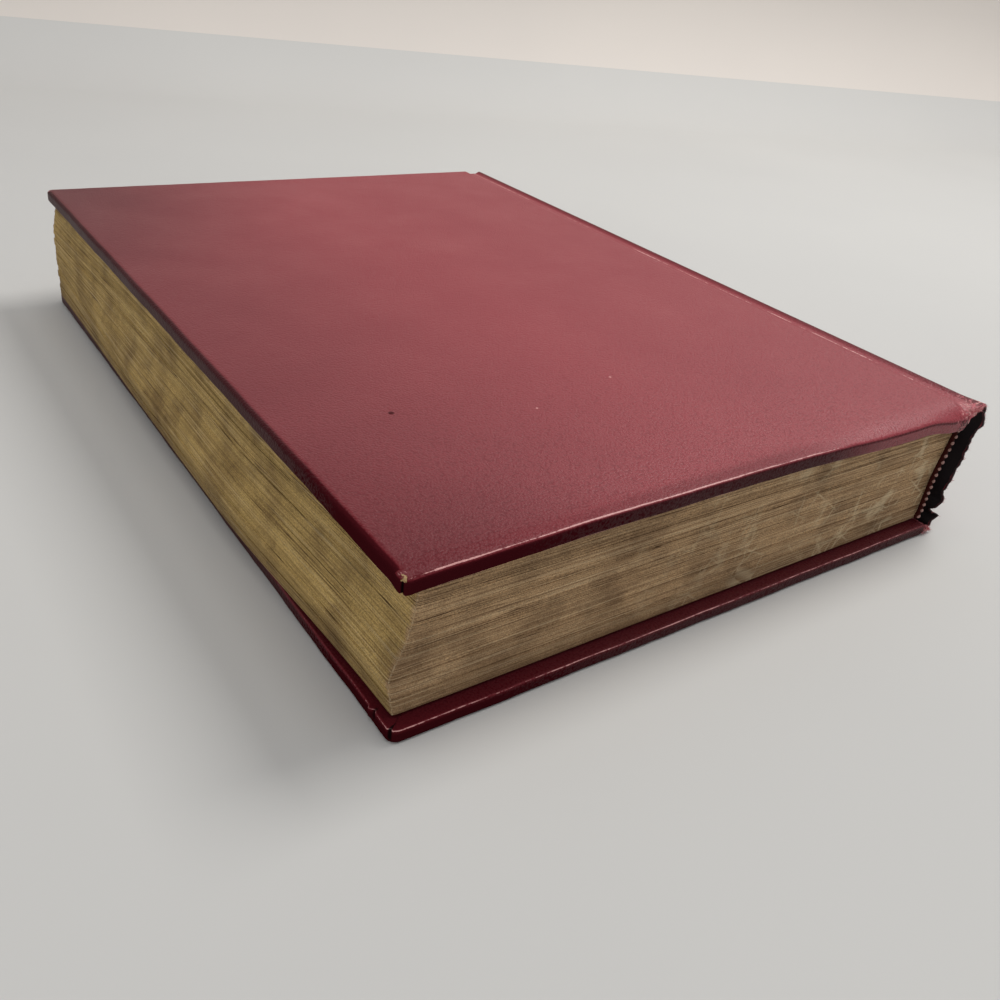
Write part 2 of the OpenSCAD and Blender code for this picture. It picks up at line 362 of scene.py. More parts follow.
def lip_crest(m, front):
    """X of the crest of the spine's lip, where the spine's own piece begins."""
    z = m.lip_drop + m.lip_r
    return wall_x(m, m.total_t - z if front else z) - m.lip_r


def lip_z(m, front):
    """Height of the spine's lip."""
    return m.total_t - m.lip_drop if front else m.lip_drop


def joint_dip(m, x, crest):
    """Depth of the outer leather below the face of the cover, down into the groove and up to the lip."""
    down = m.groove_d * smooth((x - JOINT_START) / 3.3)
    rise_from = crest - 1.9
    return down - (m.groove_d - m.lip_drop) * smooth((x - rise_from) / (crest - rise_from))


def in_joint(m, x, z, hung=0.0):
    """Height in the stack of a covered board, which thins to two layers of leather in the joint.

    Where the leather is hung it thins slowly instead, as a curtain over the joint's torn end.
    """
    thin = smooth((x - m.edge_x - 0.05) / 0.9)
    t = m.leather_t
    folded = np.interp(z, [0, t, m.cover_t - t, m.cover_t], [0, t, t + 0.04, 2 * t + 0.04])
    slow = z * (1 - 0.85 * np.clip((x - m.edge_x) / 7.5, 0, 1))
    folded = folded * (1 - hung) + slow * hung
    return z * (1 - thin) + folded * thin


def cover_profile(m):
    """(inset, height) round a covered board's edge: outer face, side, turn-in, and back along the flesh."""
    r, q, t, top = m.arris_r, m.inner_r, m.leather_t, m.cover_t
    outer = [(inset, 0) for inset in (INNER_RIM, 5, 3.2, 2.2, 1.5)]
    for a in np.radians(np.arange(0, 91, 15)):
        outer.append((r - r * math.sin(a), r - r * math.cos(a)))
    outer += [(0, 1.4), (0, 2.0), (0, 2.5)]
    for a in np.radians(np.arange(0, 91, 22.5)):
        outer.append((q - q * math.cos(a), top - q + q * math.sin(a)))
    outer += [(inset, top) for inset in (1.1, 1.8, 3, 5, INNER_RIM, 12, m.turn_in - 0.25)]
    flesh = [(m.turn_in, top - 0.15)]
    flesh += [(inset, top - t) for inset in (m.turn_in, INNER_RIM, 3, t)]
    flesh += [(inset, t) for inset in (t, 3, INNER_RIM)]
    return np.array(outer + flesh), len(outer)


def plan_loop(m, inset, head_x, fore_y, turns):
    """Plan of a cover's edge, inset: from the spine along the head, the fore-edge and the tail."""
    reach = max(m.corner_r, inset)
    r = max(m.corner_r - inset, 0)
    x_scale = (m.edge_x - reach - SQUEEZE_X) / (m.edge_x - m.corner_r - SQUEEZE_X)
    y_scale = (m.half_h - reach - SQUEEZE_Y) / (m.half_h - m.corner_r - SQUEEZE_Y)
    x = np.where(head_x < -SQUEEZE_X, -SQUEEZE_X + (head_x + SQUEEZE_X) * x_scale, head_x)
    far = np.abs(fore_y) > SQUEEZE_Y
    y = np.where(far, np.sign(fore_y) * (SQUEEZE_Y + (np.abs(fore_y) - SQUEEZE_Y) * y_scale), fore_y)
    a = np.radians(270 - 90 * turns)
    corner = np.stack([-m.edge_x + reach + r * np.cos(a), -m.half_h + reach + r * np.sin(a)], 1)
    head = with_column(x, -m.half_h + inset)
    fore = np.stack([np.full(len(y), -m.edge_x + inset), y], 1)
    back = np.array([1, -1])
    return np.concatenate([head, corner, fore, corner[::-1] * back, head[::-1] * back]), x, y


def board_skin(m, profile, levels, head_x, fore_y, corner_steps):
    """A skin round a board's edge and over its two faces: points, faces of the mesh, and each point's row."""
    turns = np.arange(1, corner_steps) / corner_steps
    rows = []
    for inset, height in profile:
        loop, grid_x, grid_y = plan_loop(m, inset, head_x, fore_y, turns)
        rows.append(with_column(loop, height))
    faces = quads(len(rows), len(loop))
    count = len(rows) * len(loop)
    # The profile ends at the rim, and so do the faces
    grid = np.array([(x, y) for x in grid_x for y in grid_y])
    for level in levels:
        rows.append(with_column(grid, level))
        faces += quads(len(grid_x), len(grid_y), offset=count)
        count += len(grid)
    return np.concatenate(rows), faces, np.repeat(np.arange(len(rows)), [len(one) for one in rows])


def pleat_corners(m, front, x, y, z, inset, outside):
    """Pleats the leather round a cover's corners: the moved x and y, and how deep in a fold each point is."""
    cx, cy = -m.edge_x + m.corner_r, m.half_h - m.corner_r
    angle = np.degrees(np.arctan2(-(np.abs(y) - cy), -(x - cx)))
    in_corner = (x < cx) & (np.abs(y) > cy)
    side = smooth((z - 0.3) / 0.9) * smooth((2.6 - inset) / 1.2) * in_corner * outside
    at = np.where(y < 0, -44.0 if front else -30.0, -45.0)
    slit = bump(angle, at, 6 if front else 11) * side
    lobe = (bump(angle, at - 14, 12) + bump(angle, at + 14, 12)) * side
    depth = 0.5 * slit - 0.14 * lobe
    inward = np.stack([cx - x, np.sign(y) * (cy - np.abs(y))], 1)
    inward /= np.maximum(np.linalg.norm(inward, axis=1), 1e-9)[:, None]
    x = x + depth * inward[:, 0]
    y = y + depth * inward[:, 1]
    if not front:
        # A second little fold of the turn-in and a nick, along the fore-edge near the head corner
        beside = smooth((z - 0.6) / 0.8) * (x < -m.edge_x + 3) * outside
        nick = bump(y, -m.half_h + 7.4, 0.5) * beside
        x = x - 0.55 * bump(y, -m.half_h + 8.6, 0.6) * beside + 0.45 * nick
        slit = np.maximum(slit, 0.6 * nick * smooth(1.5 - inset))
    return x, y, slit


def cover_wear(m, front, crest, x, y, level, inset, outside):
    """Marks of a cover's leather: worn pale with painted highlights, bare of leather, and painted shade on
    its sides, turn-ins and lip.
    """
    fore_side = (np.abs(y) < m.half_h - 2.4) & (x < -m.edge_x + 4)
    head_side = (y < -m.half_h + 2.4) & (x > -83) & (x < 86)
    # The outer arris is rubbed and has a painted highlight: faint at the fore-edge, and brightest in the
    # middle of the head
    bright = 0.15 + 1.8 * smooth((x + 87) / 8) * (1 - smooth((x - 20) / 30))
    arris = bump(level, 0.11, 0.08) * smooth((0.85 - inset) / 0.15)
    arris = arris * np.select([fore_side, head_side], [0.3, bright], 1)
    # A dotted painted highlight along the inner arris, fainter along the fore-edge
    inner_arris = 1.25 * bump(inset, 0.13, 0.12) * smooth((level - m.cover_t + 0.6) / 0.3)
    inner_arris = inner_arris * np.where(fore_side, 0.7, 1)
    corner_gap = np.hypot(x - (-m.edge_x + 1.0), np.abs(y) - (m.half_h - 1.0))
    scuffed = 0.8 * smooth((4 - corner_gap) / 3) * smooth((0.6 - level) / 0.3)
    worn = np.maximum.reduce([arris, scuffed, inner_arris]) * outside
    # Painted shade on the boards' sides and turn-ins, and over the arris along the fore-edge
    edge = np.maximum(smooth((level - 0.12) / 0.4), smooth((2.1 - inset) / 1.1) * fore_side) * outside
    if front:
        # Painted shade on the face along the head edge, towards the fore-edge
        near_edge = 0.4 * smooth((-m.half_h + 6.5 - y) / 4) * (1 - smooth((x - 10) / 40))
        edge = np.maximum(edge, near_edge * outside)
        # Towards the spine, the side of the head edge loses most of its painted shade, and the rise to the
        # joint's lip gets painted shade
        pale = head_side * smooth((x - 25) / 35) * smooth((level - 0.55) / 0.3)
        over_joint = smooth((x - crest + 2.2) / 2.6)
        edge = np.maximum(edge * (1 - 0.75 * pale), 0.75 * over_joint * outside)
        # A painted highlight along the groove of the joint
        worn = np.maximum(worn, 1.05 * bump(x, crest - 3.0, 0.45) * outside)
    else:
        # Painted shade over the bottom arris with no rub there, lessened on the inner arris and a little on
        # the turn-in
        low_arris = smooth((1.6 - inset) / 0.4)
        worn = worn * (1 - low_arris * (level < 1))
        on_arris = bump(inset, 0.15, 0.15) * smooth((level - m.cover_t + 0.75) / 0.4)
        edge = np.maximum(edge, low_arris) * (1 - 0.45 * on_arris)
        edge = edge * np.where(level > m.cover_t - 0.05, 0.85, 1)
    bare = smooth((1.6 - corner_gap) / 1.3) * smooth((1.1 - level) / 0.5) * outside
    bare = bare * np.where(y < 0, 1.0, 0.75) * (1.0 if front else 0.5)
    return {"worn": worn, "bare": bare, "edge": edge}


def covering(m, name, front, materials):
    """Leather over one board: round its edges, turned in over the inside, and across the joint to the lip."""
    crest = lip_crest(m, front)
    # Points along the head and the fore-edge, closest together in the joint and at the corners
    head_x = stepped(crest, (86.6, 26), (-SQUEEZE_X, 56), (-79, 8), (-m.edge_x + m.corner_r, 14))
    fore_y = stepped(-m.half_h + m.corner_r, (-116, 22), (116, 88), (m.half_h - m.corner_r, 22))
    profile, outer_count = cover_profile(m)
    p, faces, row = board_skin(m, profile, (0.0, m.leather_t), head_x, fore_y, 24)
    inset = np.append(profile[:, 0], (INNER_RIM, INNER_RIM))[row]
    outside = (row < outer_count) | (row == len(profile))
    x, y, level = p.T

    # The arrises wander a little, and the corners are pleated where the leather is folded in
    seed = 11 if front else 23
    rim = np.clip(1 - inset / INNER_RIM, 0, 1)
    inward_y = 0.12 * ripple(x, 39, seed + 1) * rim
    x = x + 0.12 * ripple(y, 47, seed) * rim * (x < -m.edge_x + INNER_RIM)
    y = y + np.where(y < 0, inward_y, -inward_y) * (np.abs(y) > m.half_h - INNER_RIM)
    x, y, slit = pleat_corners(m, front, x, y, level, inset, outside)
    # The mitre on the inside, where two turn-ins meet
    from_fore, from_end = x + m.edge_x, m.half_h - np.abs(y)
    mitre = bump(np.abs(from_fore - from_end), 0, 0.5) * (level > m.cover_t - 0.01) * outside
    mitre = mitre * smooth((inset - 1) / 1.5) * smooth((m.turn_in - from_fore) / 0.5)
    # The slit mark gives painted shade in the corners' folds and along the mitre
    slit = np.maximum(slit, mitre * (0.15 + 0.5 * smooth((5.5 - np.hypot(from_fore, from_end)) / 3)))
    z = level - 0.16 * mitre
    # Faint swell of the board's outer face
    swell = 0.1 * np.abs(ripple(x, 90, seed + 2) * ripple(y, 120, seed + 3))
    z = z + (outside & (z < 0.01)) * swell * smooth(inset / 6)

    # Across the joint, which is creased at the front
    hung = smooth((-m.half_h + 3 - y) / 2) if front else 0.0
    z = joint_dip(m, x, crest) + in_joint(m, x, z, hung)
    if front:
        for at_x, deep in JOINT_CREASES:
            path = at_x + 0.35 * ripple(y, 33, seed + 4)
            z = z + outside * deep * bump(x, path, 0.28) * smooth((-70 - y) / 25) * (z < 2)
        z = z + droop(m, x, y)
    # Torn at the spine's head, where the leather follows the spine's curl
    x = x + curl(m, lip_z(m, front), y) * smooth((x - CURL_START) / (crest - CURL_START))
    torn = smooth((x - TEAR_START) / 2.2)
    jag = 0.55 + 0.45 * ripple(x, 2.3, seed + 5) + 0.25 * ripple(x, 0.9, seed + 6)
    y = y + torn * jag * smooth((-m.half_h + 9 - y) / 9)
    frayed = torn * smooth((-m.half_h + 2.6 - y) / 2.6)
    if front:
        patch = 0.7 * smooth((-m.half_h + 0.8 * (x - 82) - y) / 1.5) * smooth((x - 82) / 1.5)
    else:
        patch = 0.72 * smooth((x - 86.5) / 3) * smooth((-m.half_h + 12 - y) / 8)
    marks = cover_wear(m, front, crest, x, y, level, inset, outside)
    marks.update(torn=np.maximum(frayed, patch), slit=slit)
    if front:
        z = m.total_t - z
    return make_piece(name, np.stack([x, y, z], 1), faces, materials, marks=marks, merge=True)


def drooped_board(m, materials):
    """The front board, bent down with its leather along the head."""
    t = m.leather_t + 0.03
    high = m.cover_t - t
    head_x = stepped(m.edge_x - 0.03, (60, 14), (-SQUEEZE_X, 30), (-m.edge_x + m.corner_r, 18))
    fore_y = stepped(-m.half_h + m.corner_r, (-116, 12), (116, 20), (m.half_h - m.corner_r, 12))
    profile = ((INNER_RIM, t), (3, t), (t + 0.1, t), (t, t + 0.1), (t, high), (3, high), (INNER_RIM, high))
    p, faces, _ = board_skin(m, profile, (t, high), head_x, fore_y, 12)
    p[:, 2] = m.total_t - p[:, 2] - droop(m, p[:, 0], p[:, 1])
    return make_piece("front_cover_board", p, faces, materials, merge=True)


# ------ spine

# Length along which the points of the spine's rings are spaced, and over which the wall turns into a lip
SPINE_RUN = 240
LIP_RUN = 1.4


def spine_path(m):
    """Outer face of the spine from the back joint's lip to the front one's.

    Gives its points, its outward normals, and a share that is 1 on the wall and falls to 0 at both lips.
    """
    low = m.lip_drop + m.lip_r
    high = m.total_t - low
    wall_z = np.linspace(low, high, 61)
    a = np.radians(np.linspace(-90, 0, 9))[:-1]
    low_x = wall_x(m, low) - m.lip_r
    high_x = wall_x(m, high) - m.lip_r
    points = [(low_x + m.lip_r * math.cos(t), low + m.lip_r * math.sin(t)) for t in a]
    points += [(wall_x(m, z), z) for z in wall_z]
    points += [(high_x + m.lip_r * math.cos(t), high - m.lip_r * math.sin(t)) for t in a[::-1]]
    points = np.array(points)
    heading = np.gradient(points, axis=0)
    heading /= np.linalg.norm(heading, axis=1)[:, None]
    normals = np.stack([heading[:, 1], -heading[:, 0]], 1)
    normals[0] = (0, -1)
    normals[-1] = (0, 1)
    from_low, from_high = points[:, 1] - m.lip_drop, m.total_t - m.lip_drop - points[:, 1]
    return points, normals, smooth(from_low / LIP_RUN) * smooth(from_high / LIP_RUN)


def spine_shell(m, name, ring_at, marks_at, materials):
    """A shell lofted along the spine's path from rings of (y, depth)."""
    made, marks = [], []
    for (px, pz), (nx, nz), on_wall in zip(*spine_path(m)):
        y, depth = ring_at(pz, on_wall).T
        made.append(np.stack([px - nx * depth + curl(m, pz, y), y, pz - nz * depth], 1))
        marks.append(marks_at(y, depth, pz))
    stacked = {key: np.concatenate([one[key] for one in marks]) for key in marks[0]}
    return make_piece(name, *lofted(made), materials, marks=stacked)


def head_jag(z, seed):
    """Uneven line of a torn edge."""
    return 0.16 * ripple(z, 9.0, seed) + 0.1 * ripple(z, 3.1, seed + 1) + 0.06 * ripple(z, 1.1, seed + 2)


def leather_head(m, z):
    """Torn head edge of the spine's leather."""
    return torn_y(m, z) + head_jag(z, 31)


def spine_leather_piece(m, materials):
    """Leather of the spine: torn at the head, and folded over the inlay at the tail."""
    t = m.leather_t
    fold = t * 2 + m.inlay_t
    run = stepped(0, (12, 24), (SPINE_RUN, 77)) / SPINE_RUN
    turns = np.radians(np.linspace(-90, 90, 9))[1:-1]
    end = m.half_h - fold / 2

    def ring_at(z, on_wall):
        weight = max(on_wall, 0.04)
        start = leather_head(m, z)
        deep = t + (fold - t) * weight
        return np.concatenate([
            with_column(start + (end - start) * run, 0),
            np.stack([end + (fold / 2) * np.cos(turns), deep / 2 + deep / 2 * np.sin(turns)], 1),
            with_column(np.linspace(end, m.half_h - m.turn_in, 12), deep),
            with_column(np.linspace(m.half_h - m.turn_in, end - 0.2, 12), t + (m.inlay_t - 0.02) * weight),
            with_column(end - 0.2 - (end - 0.2 - start) * (1 - run[::-1]), t * 0.98),
        ])

    def marks_at(y, depth, z):
        gap = y - leather_head(m, z)
        torn_rim = 0.9 * smooth((0.6 - gap) / 0.4)
        lip = bump(z, m.lip_drop, 1.5) + bump(z, m.total_t - m.lip_drop, 1.5)
        at_lip = min(lip, 1)
        deep = smooth(depth / (m.leather_t * 0.8))
        return {
            "worn": 0.55 * at_lip * (1 - deep),
            "bare": np.zeros(len(y)),
            # Darkened all over, most towards the front lip: partly faded leather, partly painted shade
            "edge": np.full(len(y), 0.45 + 0.3 * smooth((z - m.total_t + 5) / 4)),
            "torn": smooth((1.6 + 2.0 * lip - gap) / 1.4) * (0.35 + 0.65 * at_lip),
            # Painted shade inside the fold over the inlay, and along the torn head away from the lips
            "slit": np.maximum(deep * smooth((gap - 1.0) / 2.0), torn_rim * (1 - at_lip)),
        }

    return spine_shell(m, "spine_covering", ring_at, marks_at, materials)


def spine_inlay_piece(m, materials):
    """The dark card that stiffens the spine, ragged where the head is torn away."""
    outer = m.leather_t + 0.02
    run = stepped(0, (10, 17), (SPINE_RUN, 59)) / SPINE_RUN

    def ring_at(z, on_wall):
        start = torn_y(m, z) + 0.35 + 0.8 * head_jag(z, 47)
        y = start + (m.half_h - 2.0 - start) * run
        inner = outer + (m.inlay_t - 0.06) * max(on_wall, 0.02)
        return np.concatenate([with_column(y, outer), with_column(y[::-1], inner)])

    def marks_at(y, depth, z):
        return {"torn": smooth((1.0 - y + torn_y(m, z)) / 0.8)}

    return spine_shell(m, "spine_card", ring_at, marks_at, materials)


# ------ leaves

# Where a bundle of leaves stands proud, as shares of its thickness
PROUD_FROM, PROUD_TO = 0.22, 0.8
# How far the leaves' edges wander at a furrow and where they stand proud, and how far the leaves wave
FURROW_ROUGH, PROUD_ROUGH = 0.03, 0.07
LEAF_WAVE = 0.22


def gathering_z(m, i):
    """Height of the furrow below a gathering, or of the block's lowest and highest leaf."""
    if i <= 0:
        return m.block_z
    if i >= m.gatherings:
        return m.block_top
    step = (m.block_top - m.block_z) / m.gatherings
    return m.block_z + step * (i + 0.22 * math.sin(math.radians(i * 137)))


def leaf_loop(m, z, inset, seed, rough):
    """Edge of one leaf: along the head from the back, down the fore-edge, along the tail, and up the back."""
    u = (z - m.block_z) / (m.block_top - m.block_z)
    draw = np.random.default_rng(seed)
    t_head = stepped(1.0, (0.06, 56), (0.0, 12))
    v_fore = stepped(0.0, (0.03, 10), (0.97, 84), (1.0, 8))
    t_tail = stepped(0.0, (0.05, 6), (1.0, 34))
    v_back = stepped(1.0, (0.0, 10))
    shift = inset + rough * draw.normal(0, 0.3)
    head_in, fore_in, tail_in = (
        shift + rough * ripple(t * size, period, seed * 5 + k)
        for k, (t, size, period) in enumerate(((t_head, 180, 31), (v_fore, 250, 43), (t_tail, 180, 31)), 1)
    )
    head_y, tail_y = -m.block_y + inset, m.block_y - inset
    head_x, tail_x = fore_x(m, u, 0.0) + inset, fore_x(m, u, 1.0) + inset
    x_back = back_x(m, u) - inset
    blunt = 0.35 + 0.2 * draw.random()
    head = np.stack([head_x + (x_back - head_x) * t_head, -m.block_y + head_in], 1)
    fore = np.stack([fore_x(m, u, v_fore) + fore_in, head_y + (tail_y - head_y) * v_fore], 1)
    tail = np.stack([tail_x + (x_back - tail_x) * t_tail, m.block_y - tail_in], 1)
    back = np.stack([np.full(len(v_back), x_back), head_y + (tail_y - head_y) * v_back], 1)
    loop = np.concatenate([head, fore[1:-1], tail, back[1:-1]])
    from_corner = np.hypot(*(loop - head[-1]).T)
    # Corners blunted by wear: points close to a corner are drawn in
    for corner, into in (((head_x, head_y), (1, 1)), ((tail_x, tail_y), (1, -1))):
        gap = np.hypot(loop[:, 0] - corner[0], loop[:, 1] - corner[1])
        pull = blunt * 0.5 * np.exp(-gap / (0.8 + blunt))
        loop = loop + pull[:, None] * np.array(into)
    return loop, from_corner


def leaves_piece(m, materials):
    """All the leaves as one solid, in gatherings, each leaf's edge a little in or out of line."""
    draw = np.random.default_rng(5)
    edges = []
    for i in range(m.gatherings):
        z0, z1 = gathering_z(m, i), gathering_z(m, i + 1)
        proud = m.unevenness * (0.5 + 0.5 * math.sin(math.radians(i * 211)))
        cuts = np.linspace(0, 1, m.folds + 1)
        cuts[1:-1] += draw.normal(0, 0.03, m.folds - 1)
        for k in range(m.folds):
            a = z0 + (z1 - z0) * cuts[k]
            b = z0 + (z1 - z0) * cuts[k + 1]
            seed = i * 50 + k + 100
            deep = m.furrow if k == 0 and i > 0 else 0.05 + 0.09 * draw.random()
            deep = 0.0 if i == 0 and k == 0 else deep
            edges.append((a, proud + deep, seed, FURROW_ROUGH))
            edges += [(a + share * (b - a), proud, seed, PROUD_ROUGH) for share in (PROUD_FROM, PROUD_TO)]
    edges.append((m.block_top, m.unevenness, 999, FURROW_ROUGH))
    rings, gaps = [], []
    for z, *values in edges:
        loop, gap = leaf_loop(m, z, *values)
        u = (z - m.block_z) / (m.block_top - m.block_z)
        wave = LEAF_WAVE * ripple(loop[:, 0], 120, 71) + LEAF_WAVE * ripple(loop[:, 1], 150, 72)
        rings.append(with_column(loop, z + math.sin(math.pi * u) * wave))
        gaps.append(gap)
    p, faces = lofted(rings)
    # Paler at the corner of the leaves: rubbed, and a painted highlight
    frayed = np.exp(-np.concatenate(gaps) / 0.4)
    fore = smooth((-80 - p[:, 0]) / 2.0) * smooth((m.block_y - 0.7 - np.abs(p[:, 1])) / 0.6)
    return make_piece("leaves", p, faces, materials, marks={"frayed": frayed, "fore": fore}, sharp=60)


# ------ endbands

# The roll inside a band's width and height, as shares of them, and how far it stands in from the leaves' back
ROLL_WIDTH, ROLL_HEIGHT, ROLL_IN = 0.36, 0.4, 1.75
# Steps along a pair of beads, and round the band
BEAD_STEPS, ROUND_STEPS = 14, 28
# Where a bead sits, half its reach round the band and along the pair, and how far it stands out
BEAD_AT, BEAD_HALF = math.radians(-100), math.radians(48)
BEAD_LONG, BEAD_OUT = 0.27, 0.42
# Windings of thread in a pair of beads, and how far each stands out
WINDINGS, WINDING_OUT = 5, 0.05


def endband_piece(m, name, side, materials):
    """A sewn roll: dark thread wound round a core, with a row of pale beads on the outer side."""
    height = m.block_top - m.block_z
    pairs = int(height // m.bead_pitch)
    foot = m.block_z + (height - pairs * m.bead_pitch) / 2
    high = ROLL_HEIGHT * m.band_h
    y = side * (m.block_y + 0.05 + high)
    a = 2 * np.pi * np.arange(ROUND_STEPS) / ROUND_STEPS
    jitter = np.random.default_rng(17).normal(0, 0.06, pairs + 1)
    rings, beads = [], []
    for one in np.arange(pairs * BEAD_STEPS + 1) / BEAD_STEPS:
        z = foot + one * m.bead_pitch
        cx = back_x(m, (z - m.block_z) / height) - ROLL_IN
        turn = np.angle(np.exp(1j * (a - BEAD_AT - jitter[int(min(one, pairs - 1))])))
        bead = np.clip(1 - ((one % 1.0 - 0.5) / BEAD_LONG) ** 2 - (turn / BEAD_HALF) ** 2, 0, 1)
        thread = WINDING_OUT * np.abs(np.sin(np.pi * (one * WINDINGS + 0.25 * np.cos(a))))
        ends = 0.35 * (bump(one, 0, 0.25) + bump(one, pairs, 0.25))
        grow = -0.16 - ends + thread + BEAD_OUT * np.sqrt(bead)
        x = cx + (ROLL_WIDTH * m.band_w / 2 + grow) * np.cos(a)
        rings.append(np.stack([x, y - side * (high + grow) * np.sin(a), np.full(len(a), z)], 1))
        beads.append(bead)
    return make_piece(name, *lofted(rings), materials, marks={"bead": np.concatenate(beads)}, sharp=70)


# ------ endpapers

# Gap between a pasted endpaper and its board, and width of its step up over a turn-in
PASTE_GAP = 0.03
TURN_IN_STEP = 0.9


def fold_x(m, front):
    """X of an endpaper's fold at the leaves."""
    return back_x(m, 1.0 if front else 0.0) - m.unevenness - 0.3


def pasted_endpaper(m, name, front, materials):
    """The pasted half of an endpaper: from its fold at the leaves, into the joint, and over the board."""
    t, margin, turn = m.paper_t, m.paste_margin, m.turn_in
    face_z = m.cover_t - m.leather_t
    fold, foot = fold_x(m, front), m.block_z - t
    # Section of the paper: down from the fold, through the joint, and up round the board's edge
    section = [(fold, foot), (fold + 0.12, foot - 0.5), (fold + 0.2, foot - 1.2), (fold + 0.1, 2.2)]
    section.append((fold - 0.25, 1.62))
    for x in np.linspace(fold - 0.6, m.edge_x + 0.45, 8):
        section.append((x, joint_dip(m, x, lip_crest(m, front)) + 1.3))
    section += [(m.edge_x + 0.28, 1.6), (m.edge_x + 0.26, 2.5), (m.edge_x + 0.1, face_z + 0.02)]
    section += [(m.edge_x - past, face_z + PASTE_GAP) for past in (0.3, 1.2)]
    bent = len(section) - 2
    fore = -m.edge_x + turn
    inner = stepped(m.edge_x - 2.4, (fore + 2, 60), (fore, 6), (-m.edge_x + margin, 8))
    section = np.concatenate([section, with_column(inner, face_z + PASTE_GAP)])
    ys = stepped(
        -m.half_h + margin, (-m.half_h + turn, 8), (-m.half_h + turn + 2, 6), (m.half_h - turn - 2, 70),
        (m.half_h - turn, 6), (m.half_h - margin, 8),
    )
    grid_x, grid_y = np.meshgrid(section[:, 0], ys, indexing="ij")
    # The paper rises over the leather's turn-ins, and cockles a little
    over_fore = smooth((fore + TURN_IN_STEP - grid_x) / TURN_IN_STEP)
    over_ends = smooth((np.abs(grid_y) - m.half_h + turn + TURN_IN_STEP) / TURN_IN_STEP)
    onto = smooth((m.edge_x + 0.6 - grid_x) / 0.9)
    low = section[:, 1:] + m.leather_t * np.maximum(over_fore, over_ends) * onto
    cockle = 0.05 * np.abs(ripple(grid_x, 38, 3) * ripple(grid_y, 52, 4)) * onto
    heading = np.gradient(section, axis=0)
    heading /= np.maximum(np.linalg.norm(heading, axis=1), 1e-9)[:, None]
    normal = np.stack([heading[:, 1], -heading[:, 0]], 1)
    normal[bent:] = (0, 1)
    high = low + cockle + t * np.maximum(normal[:, 1:], 0)
    lower = np.stack([grid_x, grid_y, low], 2).reshape(-1, 3)
    upper = np.stack([grid_x + t * normal[:, :1], grid_y, high], 2).reshape(-1, 3)
    rows, columns = grid_x.shape
    count = rows * columns
    faces = quads(rows, columns) + quads(rows, columns, offset=count)
    number = np.arange(count).reshape(rows, columns)
    border = [*number[:, 0], *number[-1, 1:], *number[-2::-1, -1], *number[0, -2:0:-1]]
    for a, b in zip(border, border[1:] + border[:1]):
        faces.append((a, b, b + count, a + count))
    p = np.concatenate([lower, upper])
    if front:
        p[:, 2] = m.total_t - p[:, 2]
    return make_piece(name, p, faces, materials, sharp=50)


# ------ torn fibres

# How far the fibres stray from their aim and bend, and their least length and thickness and how much more
FIBRE_STRAY, FIBRE_BEND = 0.45, 0.3
FIBRE_LENGTHS, FIBRE_WIDTHS = (0.45, 0.75), (0.6, 0.7)


def fibres_piece(name, roots, aims, reach, width, seed, materials):
    """Short tapering fibres of torn leather, each bent a little."""
    draw = np.random.default_rng(seed)
    points, faces = [], []
    for root, aim in zip(roots, aims):
        aim = np.array(aim, float) + draw.normal(0, FIBRE_STRAY, 3)
        aim /= np.linalg.norm(aim)
        side = np.cross(aim, draw.normal(0, 1, 3))
        side /= np.linalg.norm(side)
        other = np.cross(aim, side)
        far = reach * (FIBRE_LENGTHS[0] + FIBRE_LENGTHS[1] * draw.random())
        thick = width * (FIBRE_WIDTHS[0] + FIBRE_WIDTHS[1] * draw.random())
        bend = draw.normal(0, FIBRE_BEND) * far
        base = len(points)
        for share in (0.0, 0.35, 0.7):
            centre = np.array(root) + aim * far * share + side * bend * share ** 2
            r = thick * (1 - 0.75 * share)
            for turn in (0, 2 * np.pi / 3, 4 * np.pi / 3):
                points.append(centre + r * (side * math.cos(turn) + other * 0.6 * math.sin(turn)))
        points.append(np.array(root) + aim * far + side * bend)
        faces.append((base, base + 2, base + 1))
        faces += quads(3, 3, closed=True, offset=base)
        faces += [(base + 6 + j, base + 6 + (j + 1) % 3, base + 9) for j in range(3)]
    return make_piece(name, points, faces, materials)


# ------ materials

# Sockets of a colour mix, and its result
SHARE, FIRST, SECOND, MIXED = 0, 6, 7, 2
# Where the front cover is marked: centre and radius, and the colour's name
FRONT_MARKS = (
    ((-58.7, -70.8, 41.1), 0.9, "leather_dark"),
    ((4.4, -73.9, 41.1), 0.45, "rubbed_leather_and_highlight"),
    ((-25.0, -81.6, 41.1), 0.4, "rubbed_leather_and_highlight"),
)
# Turn in degrees of each set of scrapes on the leaves, and how far its pattern is moved
SCRAPES = ((38, 0.0), (-31, 40.0), (71, 90.0))
# Painted shade in the folds of the leather, the palest torn fibres, and the stage's faint unevenness
FOLD_SHADE = (0.006, 0.003, 0.003, 1)
PALE_FIBRE = (0.62, 0.36, 0.34, 1)
STAGE_SHADE = (0.3, 0.3, 0.31, 1)
# Width of a thread of the linen, and a wave texture's scale for bands 1 m wide
LINEN_THREAD = 0.5
WAVE_SCALE = 2 * math.pi / 20


def feed(node, values):
    """Feeds a node's sockets, by name or in order, from plain values or from other nodes' sockets."""
    pairs = values.items() if isinstance(values, dict) else enumerate(values)
    for key, value in pairs:
        socket = node.inputs[key]
        if isinstance(value, bpy.types.NodeSocket):
            node.id_data.links.new(value, socket)
        else:
            socket.default_value = value


def add_node(tree, kind, feeds=(), out=0, **settings):
    """Adds a node with its settings, feeds its sockets, and gives one of its outputs.

    In order, a Map Range is fed its value, from min, from max, to min and to max.
    """
    made = tree.nodes.new("ShaderNode" + kind)
    for key, value in settings.items():
        setattr(made, key, value)
    feed(made, feeds)
    return made.outputs[out]


